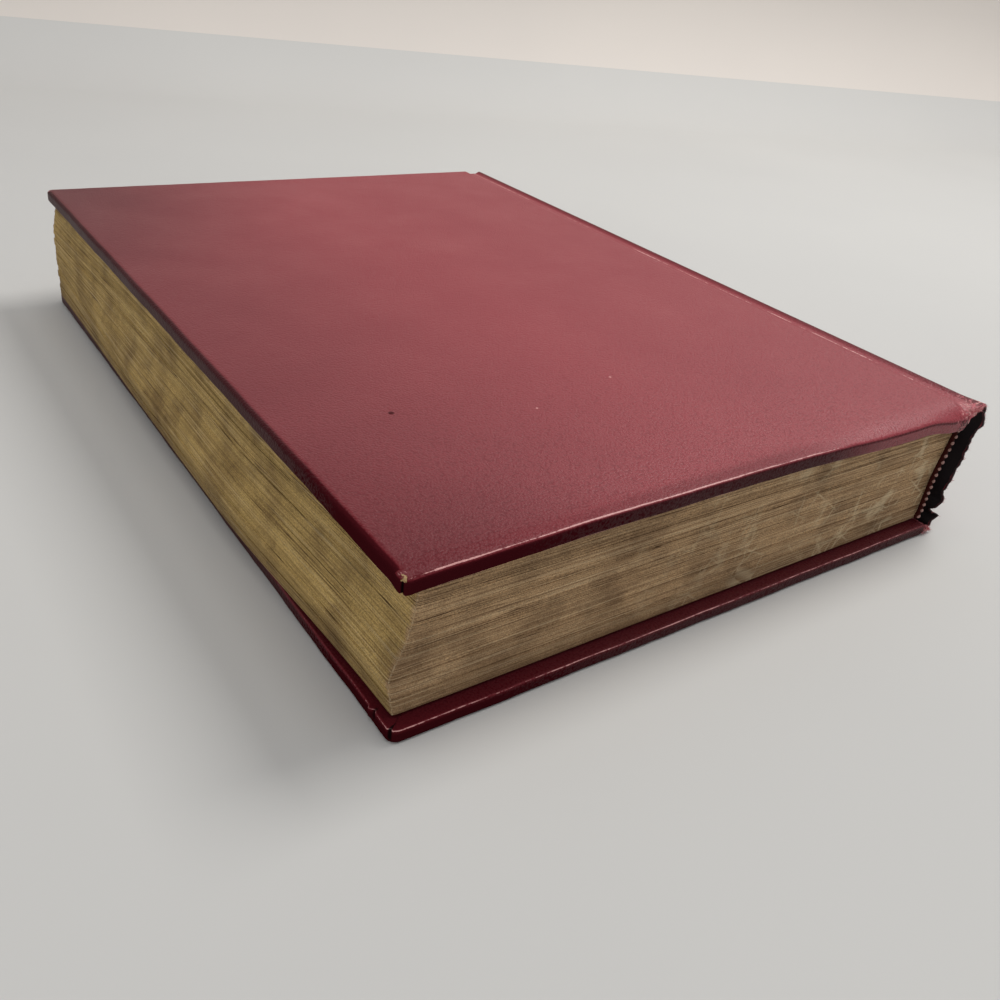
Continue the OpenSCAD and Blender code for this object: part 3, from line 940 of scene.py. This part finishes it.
def new_material(name):
    """A material, its shader, and the function that adds nodes to its tree."""
    made = bpy.data.materials.new(name)
    made.use_nodes = True
    return made, made.node_tree.nodes["Principled BSDF"], partial(add_node, made.node_tree)


def panel_colours(context):
    """The panel's colours, with an alpha of 1."""
    colours = context.scene.book_colours
    return SimpleNamespace(**{key: (*getattr(colours, key), 1.0) for key in BookColours.__annotations__})


def bound_leather(c):
    """Dyed and glazed leather with a fine grain, handled for years: soft gloss, rubbed arrises, torn ends,
    painted highlights and painted shade.
    """
    made, shader, add = new_material("Dyed_calf_leather")
    rest = add("Attribute", out="Vector", attribute_name="rest")
    edge, worn, torn, bare, slit = (
        add("Attribute", out="Fac", attribute_name=key) for key in ("edge", "worn", "torn", "bare", "slit")
    )
    # Clouds of dye, creases, pores, specks and patches of wear, ragged tears: mm across, detail, roughness
    cloud, crease, pore, speck, patch, ragged = (
        add("TexNoise", {"Vector": rest, "Scale": 1 / size, "Detail": detail, "Roughness": rough})
        for size, detail, rough in (
            (30, 5.0, 0.55), (2.6, 3.0, 0.5), (0.32, 2.0, 0.5),
            (1.1, 4.0, 0.7), (19, 2.0, 0.5), (0.9, 5.0, 0.75),
        )
    )
    # Pebbles of the grain, 0.55 mm across
    pebble = add(
        "TexVoronoi", {"Vector": rest, "Scale": 1 / 0.55, "Smoothness": 0.6, "Randomness": 1.0},
        feature="SMOOTH_F1",
    )

    # Painted shade darkens the leather towards the fore-edge and its two corners, over clouds of dye, and
    # joins the painted shade on the sides of the boards
    across, down = add("SeparateXYZ", (rest,)).node.outputs[:2]
    fore_shade = add("MapRange", (across, -95.0, 10.0, 0.42, 0.0), interpolation_type="SMOOTHSTEP")
    tone = add("MapRange", (cloud, 0.3, 0.7, 0.09, 0.0))
    darkening = add("Math", (fore_shade, tone), operation="ADD")
    for slant, low, high, most in (((-1, 1, 0), 100.0, 215.0, 0.3), ((-1, -1, 0), 150.0, 222.0, 0.22)):
        place = add("VectorMath", (rest, slant), "Value", operation="DOT_PRODUCT")
        corner = add("MapRange", (place, low, high, 0.0, most))
        darkening = add("Math", (darkening, corner), operation="ADD")
    darkening = add("Math", (darkening, edge), operation="MAXIMUM")
    coats = [(darkening, c.leather_dark)]
    # One dark spot and two chips on the front. They, the pits and the head's corner have lost their glaze
    dull = corner
    for centre, size, mark in FRONT_MARKS:
        gap = add("VectorMath", (rest, centre), "Value", operation="DISTANCE")
        spot = add("MapRange", (gap, size, 0.6 * size, 0.0, 0.9))
        dull = add("Math", (spot, 0.5, dull), operation="MULTIPLY_ADD")
        coats.append((spot, getattr(c, mark)))
    # Painted shade between the grain's pebbles, most near the head
    headward = add("MapRange", (down, -30.0, -115.0, 0.02, 0.24))
    pit = add("MapRange", (pebble, 0.48, 0.72, 0.0, 1.0))
    pit = add("Math", (pit, headward), operation="MULTIPLY")
    dull = add("Math", (pit, 0.35, dull), operation="MULTIPLY_ADD")
    # Leather rubbed paler, and painted highlights along the arrises and the joint, in specks
    rub_and_highlight = add("Math", (worn, speck), operation="MULTIPLY")
    rub_and_highlight = add("Math", (rub_and_highlight, patch), operation="MULTIPLY")
    rub_and_highlight = add("MapRange", (rub_and_highlight, 0.22, 0.3, 0.0, 0.9))
    # The undyed inside of the leather shows where it is torn
    tear = add("Math", (torn, ragged), operation="MULTIPLY")
    tear = add("MapRange", (tear, 0.34, 0.42, 0.0, 1.0))
    nap = add("MapRange", (speck, 0.48, 0.6, 0.0, 1.0))
    nap = add("Mix", {SHARE: nap, FIRST: c.suede, SECOND: c.rubbed_leather_and_highlight}, MIXED, data_type="RGBA")
    # Board shows through at the worst corner, and the folds and the torn head get painted shade
    through = add("Math", (bare, speck), operation="MULTIPLY")
    through = add("MapRange", (through, 0.4, 0.46, 0.0, 1.0))
    fold = add("MapRange", (slit, 0.2, 0.6, 0.0, 0.92))
    coats += [(pit, c.leather_dark), (rub_and_highlight, c.rubbed_leather_and_highlight), (tear, nap), (through, c.board), (fold, FOLD_SHADE)]
    base = c.leather
    for share, coat in coats:
        base = add("Mix", {SHARE: share, FIRST: base, SECOND: coat}, MIXED, data_type="RGBA")

    gloss = add("MapRange", (cloud, 0.3, 0.7, 0.5, 0.4))
    matt = add("Math", (tear, 0.4, gloss), operation="MULTIPLY_ADD")
    height = add("Math", (pebble, -1.2, pore), operation="MULTIPLY_ADD")
    height = add("Math", (crease, 0.5, height), operation="MULTIPLY_ADD")
    relief = add("Bump", {"Height": height, "Strength": 0.8, "Distance": 0.11 * MM})
    # The sides of the boards, darkened by painted shade, have lost their glaze too
    glaze = add("MapRange", (edge, 0.0, 1.0, 0.5, 0.12))
    glaze = add("Math", (glaze, dull), operation="SUBTRACT")
    glaze = add("Math", (glaze, 0.0), operation="MAXIMUM")
    feed(shader, {"Base Color": base, "Roughness": matt, "Specular IOR Level": glaze, "Normal": relief})
    return made


def leaf_edges(c):
    """Trimmed edges of old leaves: matt and browned, lined along the leaves, speckled, with pale scrapes."""
    made, shader, add = new_material("Aged_paper_edges")
    rest = add("Attribute", out="Vector", attribute_name="rest")
    fore, frayed = (add("Attribute", out="Fac", attribute_name=key) for key in ("fore", "frayed"))
    across, _, up = add("SeparateXYZ", (rest,)).node.outputs
    # Blotches of dirt, a fine speckle, and where the scrapes are: mm across, detail, roughness
    blotch, grit, where = (
        add("TexNoise", {"Vector": rest, "Scale": 1 / size, "Detail": detail, "Roughness": rough})
        for size, detail, rough in ((12, 4.0, 0.6), (0.35, 2.0, 0.7), (9, 3.0, 0.5))
    )
    dirt = add("MapRange", (blotch, 0.44, 0.72, 0.0, 0.6))
    speckle = add("MapRange", (grit, 0.42, 0.6, 0.0, 0.48))
    # Darker towards the lower cover
    low = add("MapRange", (up, 13.0, 3.0, 0.0, 0.55))
    # Lines along the leaves: bundles of leaves every 0.3 mm, and a few long dark gaps
    fine = add("VectorMath", (rest, (0.02, 0.02, 3.4)), operation="MULTIPLY")
    streak = add("TexNoise", {"Vector": fine, "Scale": 1.0, "Detail": 2.0, "Roughness": 0.6})
    line = add("MapRange", (streak, 0.5, 0.64, 0.0, 0.42))
    lit = add("MapRange", (streak, 0.46, 0.34, 0.0, 0.28))
    long = add("VectorMath", (rest, (0.009, 0.009, 1.8)), operation="MULTIPLY")
    dark = add("TexNoise", {"Vector": long, "Scale": 1.0, "Detail": 1.0})
    dark = add("Math", (dark, 0.5), operation="SUBTRACT")
    dark = add("Math", (dark,), operation="ABSOLUTE")
    dark = add("MapRange", (dark, 0.015, 0.0, 0.0, 0.95))
    # Pale scrapes across the head of the leaves, thickest towards the back
    strokes = None
    for turn, moved in SCRAPES:
        placed = {"Vector": rest, "Rotation": (0, math.radians(turn), 0), "Location": (moved, 0, 0)}
        lean = add("Mapping", placed)
        thin = add("VectorMath", (lean, (1 / 34, 1 / 60, 1 / 7)), operation="MULTIPLY")
        cell = add("TexVoronoi", {"Vector": thin, "Scale": 1.0}, feature="DISTANCE_TO_EDGE")
        near = add("MapRange", (cell, 0.045, 0.01, 0.0, 1.0))
        strokes = add("Math", (strokes, near), operation="MAXIMUM") if strokes else near
    some = add("MapRange", (where, 0.5, 0.62, 0.0, 0.5))
    backward = add("MapRange", (across, -40.0, 60.0, 0.04, 1.0))
    some = add("Math", (some, backward), operation="MULTIPLY")
    stroke = add("Math", (strokes, some), operation="MULTIPLY")
    # The corner of the leaves is rubbed pale, with a painted highlight on it
    rub_and_highlight = add("Math", (frayed, streak), operation="MULTIPLY")
    rub_and_highlight = add("MapRange", (rub_and_highlight, 0.4, 0.6, 0.0, 0.4))
    base = c.page
    for share, coat in (
        (fore, c.fore_edge), (dirt, c.page_dark), (speckle, c.page_dark), (low, c.page_dark),
        (line, c.page_dark), (lit, c.page_pale), (dark, c.page_dark), (stroke, c.page_pale),
        (rub_and_highlight, c.page_pale),
    ):
        base = add("Mix", {SHARE: share, FIRST: base, SECOND: coat}, MIXED, data_type="RGBA")
    height = add("Math", (grit, 0.35, streak), operation="MULTIPLY_ADD")
    relief = add("Bump", {"Height": height, "Strength": 0.6, "Distance": 0.12 * MM})
    feed(shader, {"Base Color": base, "Roughness": 0.82, "Specular IOR Level": 0.3, "Normal": relief})
    return made


def wove_paper(c):
    """Wove endpaper, browned in clouds: matt, with faint foxing."""
    made, shader, add = new_material("Wove_endpaper")
    place = add("TexCoord", out="Object")
    # Fibres, stains and foxed spots: mm across, detail, roughness
    fibre, stain, spot = (
        add("TexNoise", {"Vector": place, "Scale": 1000 / size, "Detail": detail, "Roughness": rough})
        for size, detail, rough in ((0.6, 3.0, 0.5), (40, 5.0, 0.6), (5, 2.0, 0.5))
    )
    brown = add("MapRange", (stain, 0.4, 0.75, 0.0, 0.35))
    fox = add("MapRange", (spot, 0.68, 0.76, 0.0, 0.5))
    base = c.endpaper
    for share, coat in ((brown, c.page), (fox, c.page_dark)):
        base = add("Mix", {SHARE: share, FIRST: base, SECOND: coat}, MIXED, data_type="RGBA")
    relief = add("Bump", {"Height": fibre, "Strength": 0.4, "Distance": 0.03 * MM})
    feed(shader, {"Base Color": base, "Roughness": 0.85, "Specular IOR Level": 0.25, "Normal": relief})
    return made


def pressed_board(c):
    """Pressed millboard of rope and rag fibre: tan, matt and flecked, in flecks 1.2 mm across."""
    made, shader, add = new_material("Pressed_millboard")
    place = add("TexCoord", out="Object")
    fleck = add("TexNoise", {"Vector": place, "Scale": 1000 / 1.2, "Detail": 5.0, "Roughness": 0.75})
    dark = add("MapRange", (fleck, 0.5, 0.7, 0.0, 0.6))
    base = add("Mix", {SHARE: dark, FIRST: c.board, SECOND: c.page_dark}, MIXED, data_type="RGBA")
    relief = add("Bump", {"Height": fleck, "Strength": 0.6, "Distance": 0.08 * MM})
    feed(shader, {"Base Color": base, "Roughness": 0.9, "Normal": relief})
    return made


def glued_linen(c):
    """Undyed linen of the tapes and the lining, stiff with old glue: a plain weave of 0.5 mm threads."""
    made, shader, add = new_material("Glued_linen")
    place = add("TexCoord", out="Object")
    wave = {"Vector": place, "Scale": WAVE_SCALE / (LINEN_THREAD * MM), "Distortion": 0.6}
    weft, warp = (add("TexWave", wave, "Fac", bands_direction=way) for way in "YZ")
    weave = add("Math", (weft, warp), operation="MAXIMUM")
    base = add("Mix", {SHARE: weave, FIRST: c.page_dark, SECOND: c.linen}, MIXED, data_type="RGBA")
    relief = add("Bump", {"Height": weave, "Strength": 0.7, "Distance": 0.1 * MM})
    feed(shader, {"Base Color": base, "Roughness": 0.88, "Normal": relief})
    return made


def sewing_thread(c):
    """Cotton and silk thread of the endbands: dulled beads over red-brown windings, with hardly a sheen."""
    made, shader, add = new_material("Endband_thread")
    rest = add("Attribute", out="Vector", attribute_name="rest")
    bead = add("Attribute", out="Fac", attribute_name="bead")
    darkening = add("TexNoise", {"Vector": rest, "Scale": 1 / 1.3, "Detail": 3.0})
    pale = add("MapRange", (bead, 0.02, 0.22, 0.0, 1.0))
    dulled = add("Mix", {SHARE: darkening, FIRST: c.band_pale, SECOND: c.page_dark}, MIXED, data_type="RGBA")
    base = add("Mix", {SHARE: pale, FIRST: c.band_dark, SECOND: dulled}, MIXED, data_type="RGBA")
    strand = add("VectorMath", (rest, (2.0, 2.0, 9.0)), operation="MULTIPLY")
    twist = add("TexNoise", {"Vector": strand, "Scale": 1.0, "Detail": 2.0})
    relief = add("Bump", {"Height": twist, "Strength": 0.6, "Distance": 0.08 * MM})
    feed(shader, {"Base Color": base, "Roughness": 0.7, "Specular IOR Level": 0.12, "Normal": relief})
    return made


def black_card_and_shade(c):
    """Black card inside the spine, its near-black also painted shade there: smooth and nearly unlit, with
    brown fibre at its torn end.
    """
    made, shader, add = new_material("Black_card")
    rest = add("Attribute", out="Vector", attribute_name="rest")
    torn = add("Attribute", out="Fac", attribute_name="torn")
    grain = add("TexNoise", {"Vector": rest, "Scale": 1 / 0.8, "Detail": 4.0})
    fray = add("Math", (torn, grain), operation="MULTIPLY")
    fray = add("MapRange", (fray, 0.45, 0.62, 0.0, 0.35))
    base = add("Mix", {SHARE: fray, FIRST: c.inlay, SECOND: c.leather_dark}, MIXED, data_type="RGBA")
    relief = add("Bump", {"Height": grain, "Strength": 0.5, "Distance": 0.05 * MM})
    feed(shader, {"Base Color": base, "Roughness": 0.75, "Specular IOR Level": 0.2, "Normal": relief})
    return made


def torn_fibre(c):
    """Loose collagen fibres at the torn leather: matt and pinkish, some nearly white."""
    made, shader, add = new_material("Torn_leather_fibre")
    rest = add("Attribute", out="Vector", attribute_name="rest")
    mixed = add("TexNoise", {"Vector": rest, "Scale": 1 / 0.7, "Detail": 2.0})
    pale = add("MapRange", (mixed, 0.45, 0.68, 0.0, 1.0))
    base = add("Mix", {SHARE: pale, FIRST: c.suede, SECOND: PALE_FIBRE}, MIXED, data_type="RGBA")
    feed(shader, {"Base Color": base, "Roughness": 0.9})
    return made


def plain_stage(name, colour_of):
    """A plain matt surface with the faintest unevenness of tone, 180 mm across."""
    made, shader, add = new_material(name)
    place = add("TexCoord", out="Object")
    tone = add("TexNoise", {"Vector": place, "Scale": 1000 / 180, "Detail": 2.0})
    shade = add("MapRange", (tone, 0.3, 0.7, 0.0, 0.06))
    base = add("Mix", {SHARE: shade, FIRST: colour_of, SECOND: STAGE_SHADE}, MIXED, data_type="RGBA")
    feed(shader, {"Base Color": base, "Roughness": 0.9})
    return made


# ------ operators

COVERS = ((True, "front_cover"), (False, "back_cover"))
# Fibres at the spine's torn head and at each torn joint, and where those of a joint start
SPINE_FIBRES, JOINT_FIBRES = 120, 150
FIBRES_FROM = 88.0


class BuildCovers(bpy.types.Operator):
    """Leather over both boards, from the fore-edge to the spine's lips"""

    bl_idname = "book.build_covers"
    bl_label = "Covers"

    def execute(self, context):
        m = measures(context)
        leather = bound_leather(panel_colours(context))
        for front, body in COVERS:
            piece = covering(m, body + "_leather", front, [leather])
            z = lip_z(m, front)
            lip_crest(m, front) * MM
            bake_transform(piece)
            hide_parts("front_leather" if front else "back_leather")
        return {"FINISHED"}


class BuildSpine(bpy.types.Operator):
    """The spine's leather, torn at the head, and the dark card inside it"""

    bl_idname = "book.build_spine"
    bl_label = "Spine"

    def execute(self, context):
        m = measures(context)
        piece = spine_leather_piece(m, [bpy.data.materials["Dyed_calf_leather"]])
        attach(piece, "text_block")
        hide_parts("spine_leather")
        card = spine_inlay_piece(m, [black_card_and_shade(panel_colours(context))])
        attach(card, "text_block")
        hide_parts("spine_inlay")
        return {"FINISHED"}


class BuildFibres(bpy.types.Operator):
    """Loose fibres where the leather is torn"""

    bl_idname = "book.build_fibres"
    bl_label = "Torn fibres"

    def execute(self, context):
        m = measures(context)
        made = torn_fibre(panel_colours(context))
        draw = np.random.default_rng(91)
        roots = []
        path, _, _ = spine_path(m)
        for _ in range(SPINE_FIBRES):
            x, z = path[draw.integers(0, len(path))]
            y = leather_head(m, z)
            roots.append((x - 0.3 + curl(m, z, y), y + 0.1, z))
        aims = [(0.2, -1, 0.1)] * SPINE_FIBRES
        piece = fibres_piece("spine_fibres", roots, aims, reach=0.9, width=0.07, seed=92, materials=[made])
        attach(piece, "text_block")
        for front, body in COVERS:
            crest = lip_crest(m, front)
            roots = []
            for _ in range(JOINT_FIBRES):
                x = FIBRES_FROM + (crest - FIBRES_FROM) * draw.random() ** 0.8
                z = joint_dip(m, x, crest) + 0.25 + 0.5 * draw.random()
                roots.append((x, -m.half_h + 0.6 + 0.3 * draw.normal(), m.total_t - z if front else z))
            aims = [(0.2, -1, 0.5 if front else 0.3)] * JOINT_FIBRES
            piece = fibres_piece(
                body + "_fibres", roots, aims, reach=1.2, width=0.09, seed=93 + front, materials=[made]
            )
            z = lip_z(m, front)
            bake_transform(piece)
        return {"FINISHED"}


class BuildLeaves(bpy.types.Operator):
    """The leaves in their gatherings, as one solid"""

    bl_idname = "book.build_leaves"
    bl_label = "Leaves"

    def execute(self, context):
        piece = leaves_piece(measures(context), [leaf_edges(panel_colours(context))])
        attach(piece, "text_block")
        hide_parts("text_block")
        return {"FINISHED"}


class BuildEndbands(bpy.types.Operator):
    """The sewn bands at the head and the tail"""

    bl_idname = "book.build_endbands"
    bl_label = "Endbands"

    def execute(self, context):
        m = measures(context)
        thread = sewing_thread(panel_colours(context))
        for node, side in (("head_band", -1), ("tail_band", 1)):
            piece = endband_piece(m, node + "_beads", side, [thread])
            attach(piece, "text_block")
            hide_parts(node)
        return {"FINISHED"}


class BuildEndpapers(bpy.types.Operator):
    """Pasted halves of the endpapers, and the paper of the free ones"""

    bl_idname = "book.build_endpapers"
    bl_label = "Endpapers"

    def execute(self, context):
        m = measures(context)
        paper = wove_paper(panel_colours(context))
        for front, body in COVERS:
            piece = pasted_endpaper(m, body + "_endpaper", front, [paper])
            z = lip_z(m, front)
            fold_x(m, front) * MM
            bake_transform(piece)
            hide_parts("front_pastedown" if front else "back_pastedown")
        return {"FINISHED"}


class FinishNodes(bpy.types.Operator):
    """The bent front board, and materials of the parts that keep their own shapes"""

    bl_idname = "book.finish_nodes"
    bl_label = "Boards, tapes and lining"

    def execute(self, context):
        c = panel_colours(context)
        board, linen, paper = pressed_board(c), glued_linen(c), bpy.data.materials["Wove_endpaper"]
        piece = drooped_board(measures(context), [board])
        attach(piece, "front_cover")
        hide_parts("front_board")
        for made, nodes in (
            (board, ("back_board",)), (linen, ("sewing_tapes", "spine_lining")),
            (paper, ("front_flyleaf", "back_flyleaf")),
        ):
            for node in nodes:
                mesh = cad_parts[node].data
                mesh.materials.clear()
                mesh.materials.append(made)
        return {"FINISHED"}


# ------ studio

# The floor, in millimetres: its near end and half its width, and the wall's place, bend and top
FLOOR_FROM, FLOOR_HALF, WALL_AT, WALL_BEND, WALL_TOP = -2200.0, 2600.0, 620.0, 120.0, 420.0
FLOOR_TURN = math.radians(-20)
BEND_STEPS = 12
# First strip of the bend that is coloured as the wall
WALL_STRIP = 7
# Name, place, aim and size in metres, power in watts and colour of each lamp: a soft one above the spine's
# side, a wide one for the backdrop, and a weak fill for the leaves
LAMPS = (
    ("key_lamp", (0.66, -0.02, 1.0), (0, 0, 0.02), 0.5, 8.0, (1.0, 0.985, 0.96)),
    ("wall_lamp", (0.0, -0.1, 1.35), (0.3, 0.6, 0.35), 0.8, 5.0, (1.0, 0.98, 0.95)),
    ("fill_lamp", (-0.75, -0.6, 0.5), (0, 0, 0.02), 0.8, 1.8, (1.0, 0.98, 0.95)),
)
SKY_COLOUR, SKY_STRENGTH = (0.93, 0.95, 1.0, 1.0), 0.36
# The photograph's camera: place in millimetres, angles in degrees, lens and sensor in millimetres
CAMERA_AT = (-158.6, -242.3, 140.8)
CAMERA_AZIMUTH, CAMERA_DOWN, CAMERA_ROLL = 38.09, 31.18, -7.27
CAMERA_LENS, CAMERA_SENSOR = 34.65, 36.0


class SetStage(bpy.types.Operator):
    """Floor, backdrop, soft lamps and the camera"""

    bl_idname = "book.set_stage"
    bl_label = "Studio"

    def execute(self, context):
        floor = make_floor(panel_colours(context))
        set_lamps(context)
        set_camera(context)
        context.scene.view_settings.view_transform = "Standard"
        return {"FINISHED"}


def make_floor(c):
    """A floor that sweeps up into a backdrop well behind the book."""
    section = [(FLOOR_FROM, 0.0), (WALL_AT - WALL_BEND, 0.0)]
    for k in range(1, BEND_STEPS + 1):
        a = math.radians(90 * k / BEND_STEPS)
        section.append((WALL_AT - WALL_BEND + WALL_BEND * math.sin(a), WALL_BEND - WALL_BEND * math.cos(a)))
    section.append((WALL_AT, WALL_TOP))
    points = []
    for across in (-FLOOR_HALF, FLOOR_HALF):
        for away, up in section:
            x = across * math.cos(FLOOR_TURN) - away * math.sin(FLOOR_TURN)
            y = across * math.sin(FLOOR_TURN) + away * math.cos(FLOOR_TURN)
            points.append((x, y, up))
    count = len(section)
    faces = [(k, k + 1, count + k + 1, count + k) for k in range(count - 1)]
    mesh = bpy.data.meshes.new("studio_floor")
    mesh.from_pydata((np.array(points) * MM).tolist(), [], faces)
    mesh.shade_smooth()
    mesh.materials.append(plain_stage("Plain_floor", c.floor))
    mesh.materials.append(plain_stage("Plain_wall", c.wall))
    for face in mesh.polygons:
        face.material_index = int(face.index >= WALL_STRIP)
    floor = bpy.data.objects.new("studio_floor", mesh)
    bpy.context.scene.collection.objects.link(floor)
    return floor


def set_lamps(context):
    """Square soft lamps, and an even sky."""
    for name, place, aim, size, power, tint in LAMPS:
        lamp = bpy.data.lights.new(name, "AREA")
        lamp.shape = "SQUARE"
        lamp.size = size
        lamp.energy = power
        lamp.color = tint
        made = bpy.data.objects.new(name, lamp)
        made.location = place
        made.rotation_euler = (Vector(aim) - Vector(place)).to_track_quat("-Z", "Y").to_euler()
        context.scene.collection.objects.link(made)
    world = bpy.data.worlds.new("studio_sky")
    world.use_nodes = True
    feed(world.node_tree.nodes["Background"], (SKY_COLOUR, SKY_STRENGTH))
    context.scene.world = world


def set_camera(context):
    """The camera at the photograph's viewing angle."""
    a, e, roll = (math.radians(v) for v in (CAMERA_AZIMUTH, CAMERA_DOWN, CAMERA_ROLL))
    forward = Vector((math.sin(a) * math.cos(e), math.cos(a) * math.cos(e), -math.sin(e)))
    right = Vector((math.cos(a), -math.sin(a), 0))
    down = forward.cross(right)
    across = right * math.cos(roll) + down * math.sin(roll)
    up = right * math.sin(roll) - down * math.cos(roll)
    data = bpy.data.cameras.new("camera")
    data.lens = CAMERA_LENS
    data.sensor_width = CAMERA_SENSOR
    data.sensor_fit = "AUTO"
    data.clip_start = 0.01
    data.clip_end = 20
    camera = bpy.data.objects.new("camera", data)
    turn = Matrix((across, up, -forward)).transposed()
    camera.matrix_world = Matrix.Translation(Vector(CAMERA_AT) * MM) @ turn.to_4x4()
    context.scene.collection.objects.link(camera)
    context.scene.camera = camera


OPERATORS = (
    SetStage, BuildCovers, BuildSpine, BuildFibres, BuildLeaves, BuildEndbands, BuildEndpapers, FinishNodes,
)


class BookPanel(bpy.types.Panel):
    """Sizes, colours and the steps that make the book"""

    bl_idname = "VIEW3D_PT_book"
    bl_label = "Leather-bound book"
    bl_space_type = "VIEW_3D"
    bl_region_type = "UI"
    bl_category = "Book"

    def draw(self, context):
        for group in (context.scene.book_sizes, context.scene.book_colours):
            box = self.layout.box()
            for key in type(group).__annotations__:
                box.prop(group, key)
        for operator in OPERATORS:
            self.layout.operator(operator.bl_idname)


CLASSES = (BookSizes, BookColours, *OPERATORS, BookPanel)


def register():
    for one in CLASSES:
        bpy.utils.register_class(one)
    bpy.types.Scene.book_sizes = bpy.props.PointerProperty(type=BookSizes)
    bpy.types.Scene.book_colours = bpy.props.PointerProperty(type=BookColours)


def unregister():
    del bpy.types.Scene.book_colours
    del bpy.types.Scene.book_sizes
    for one in reversed(CLASSES):
        bpy.utils.unregister_class(one)


def main():
    register()
    for operator in OPERATORS:
        getattr(bpy.ops.book, operator.bl_idname.split(".")[1])()


if __name__ == "__main__":
    main()
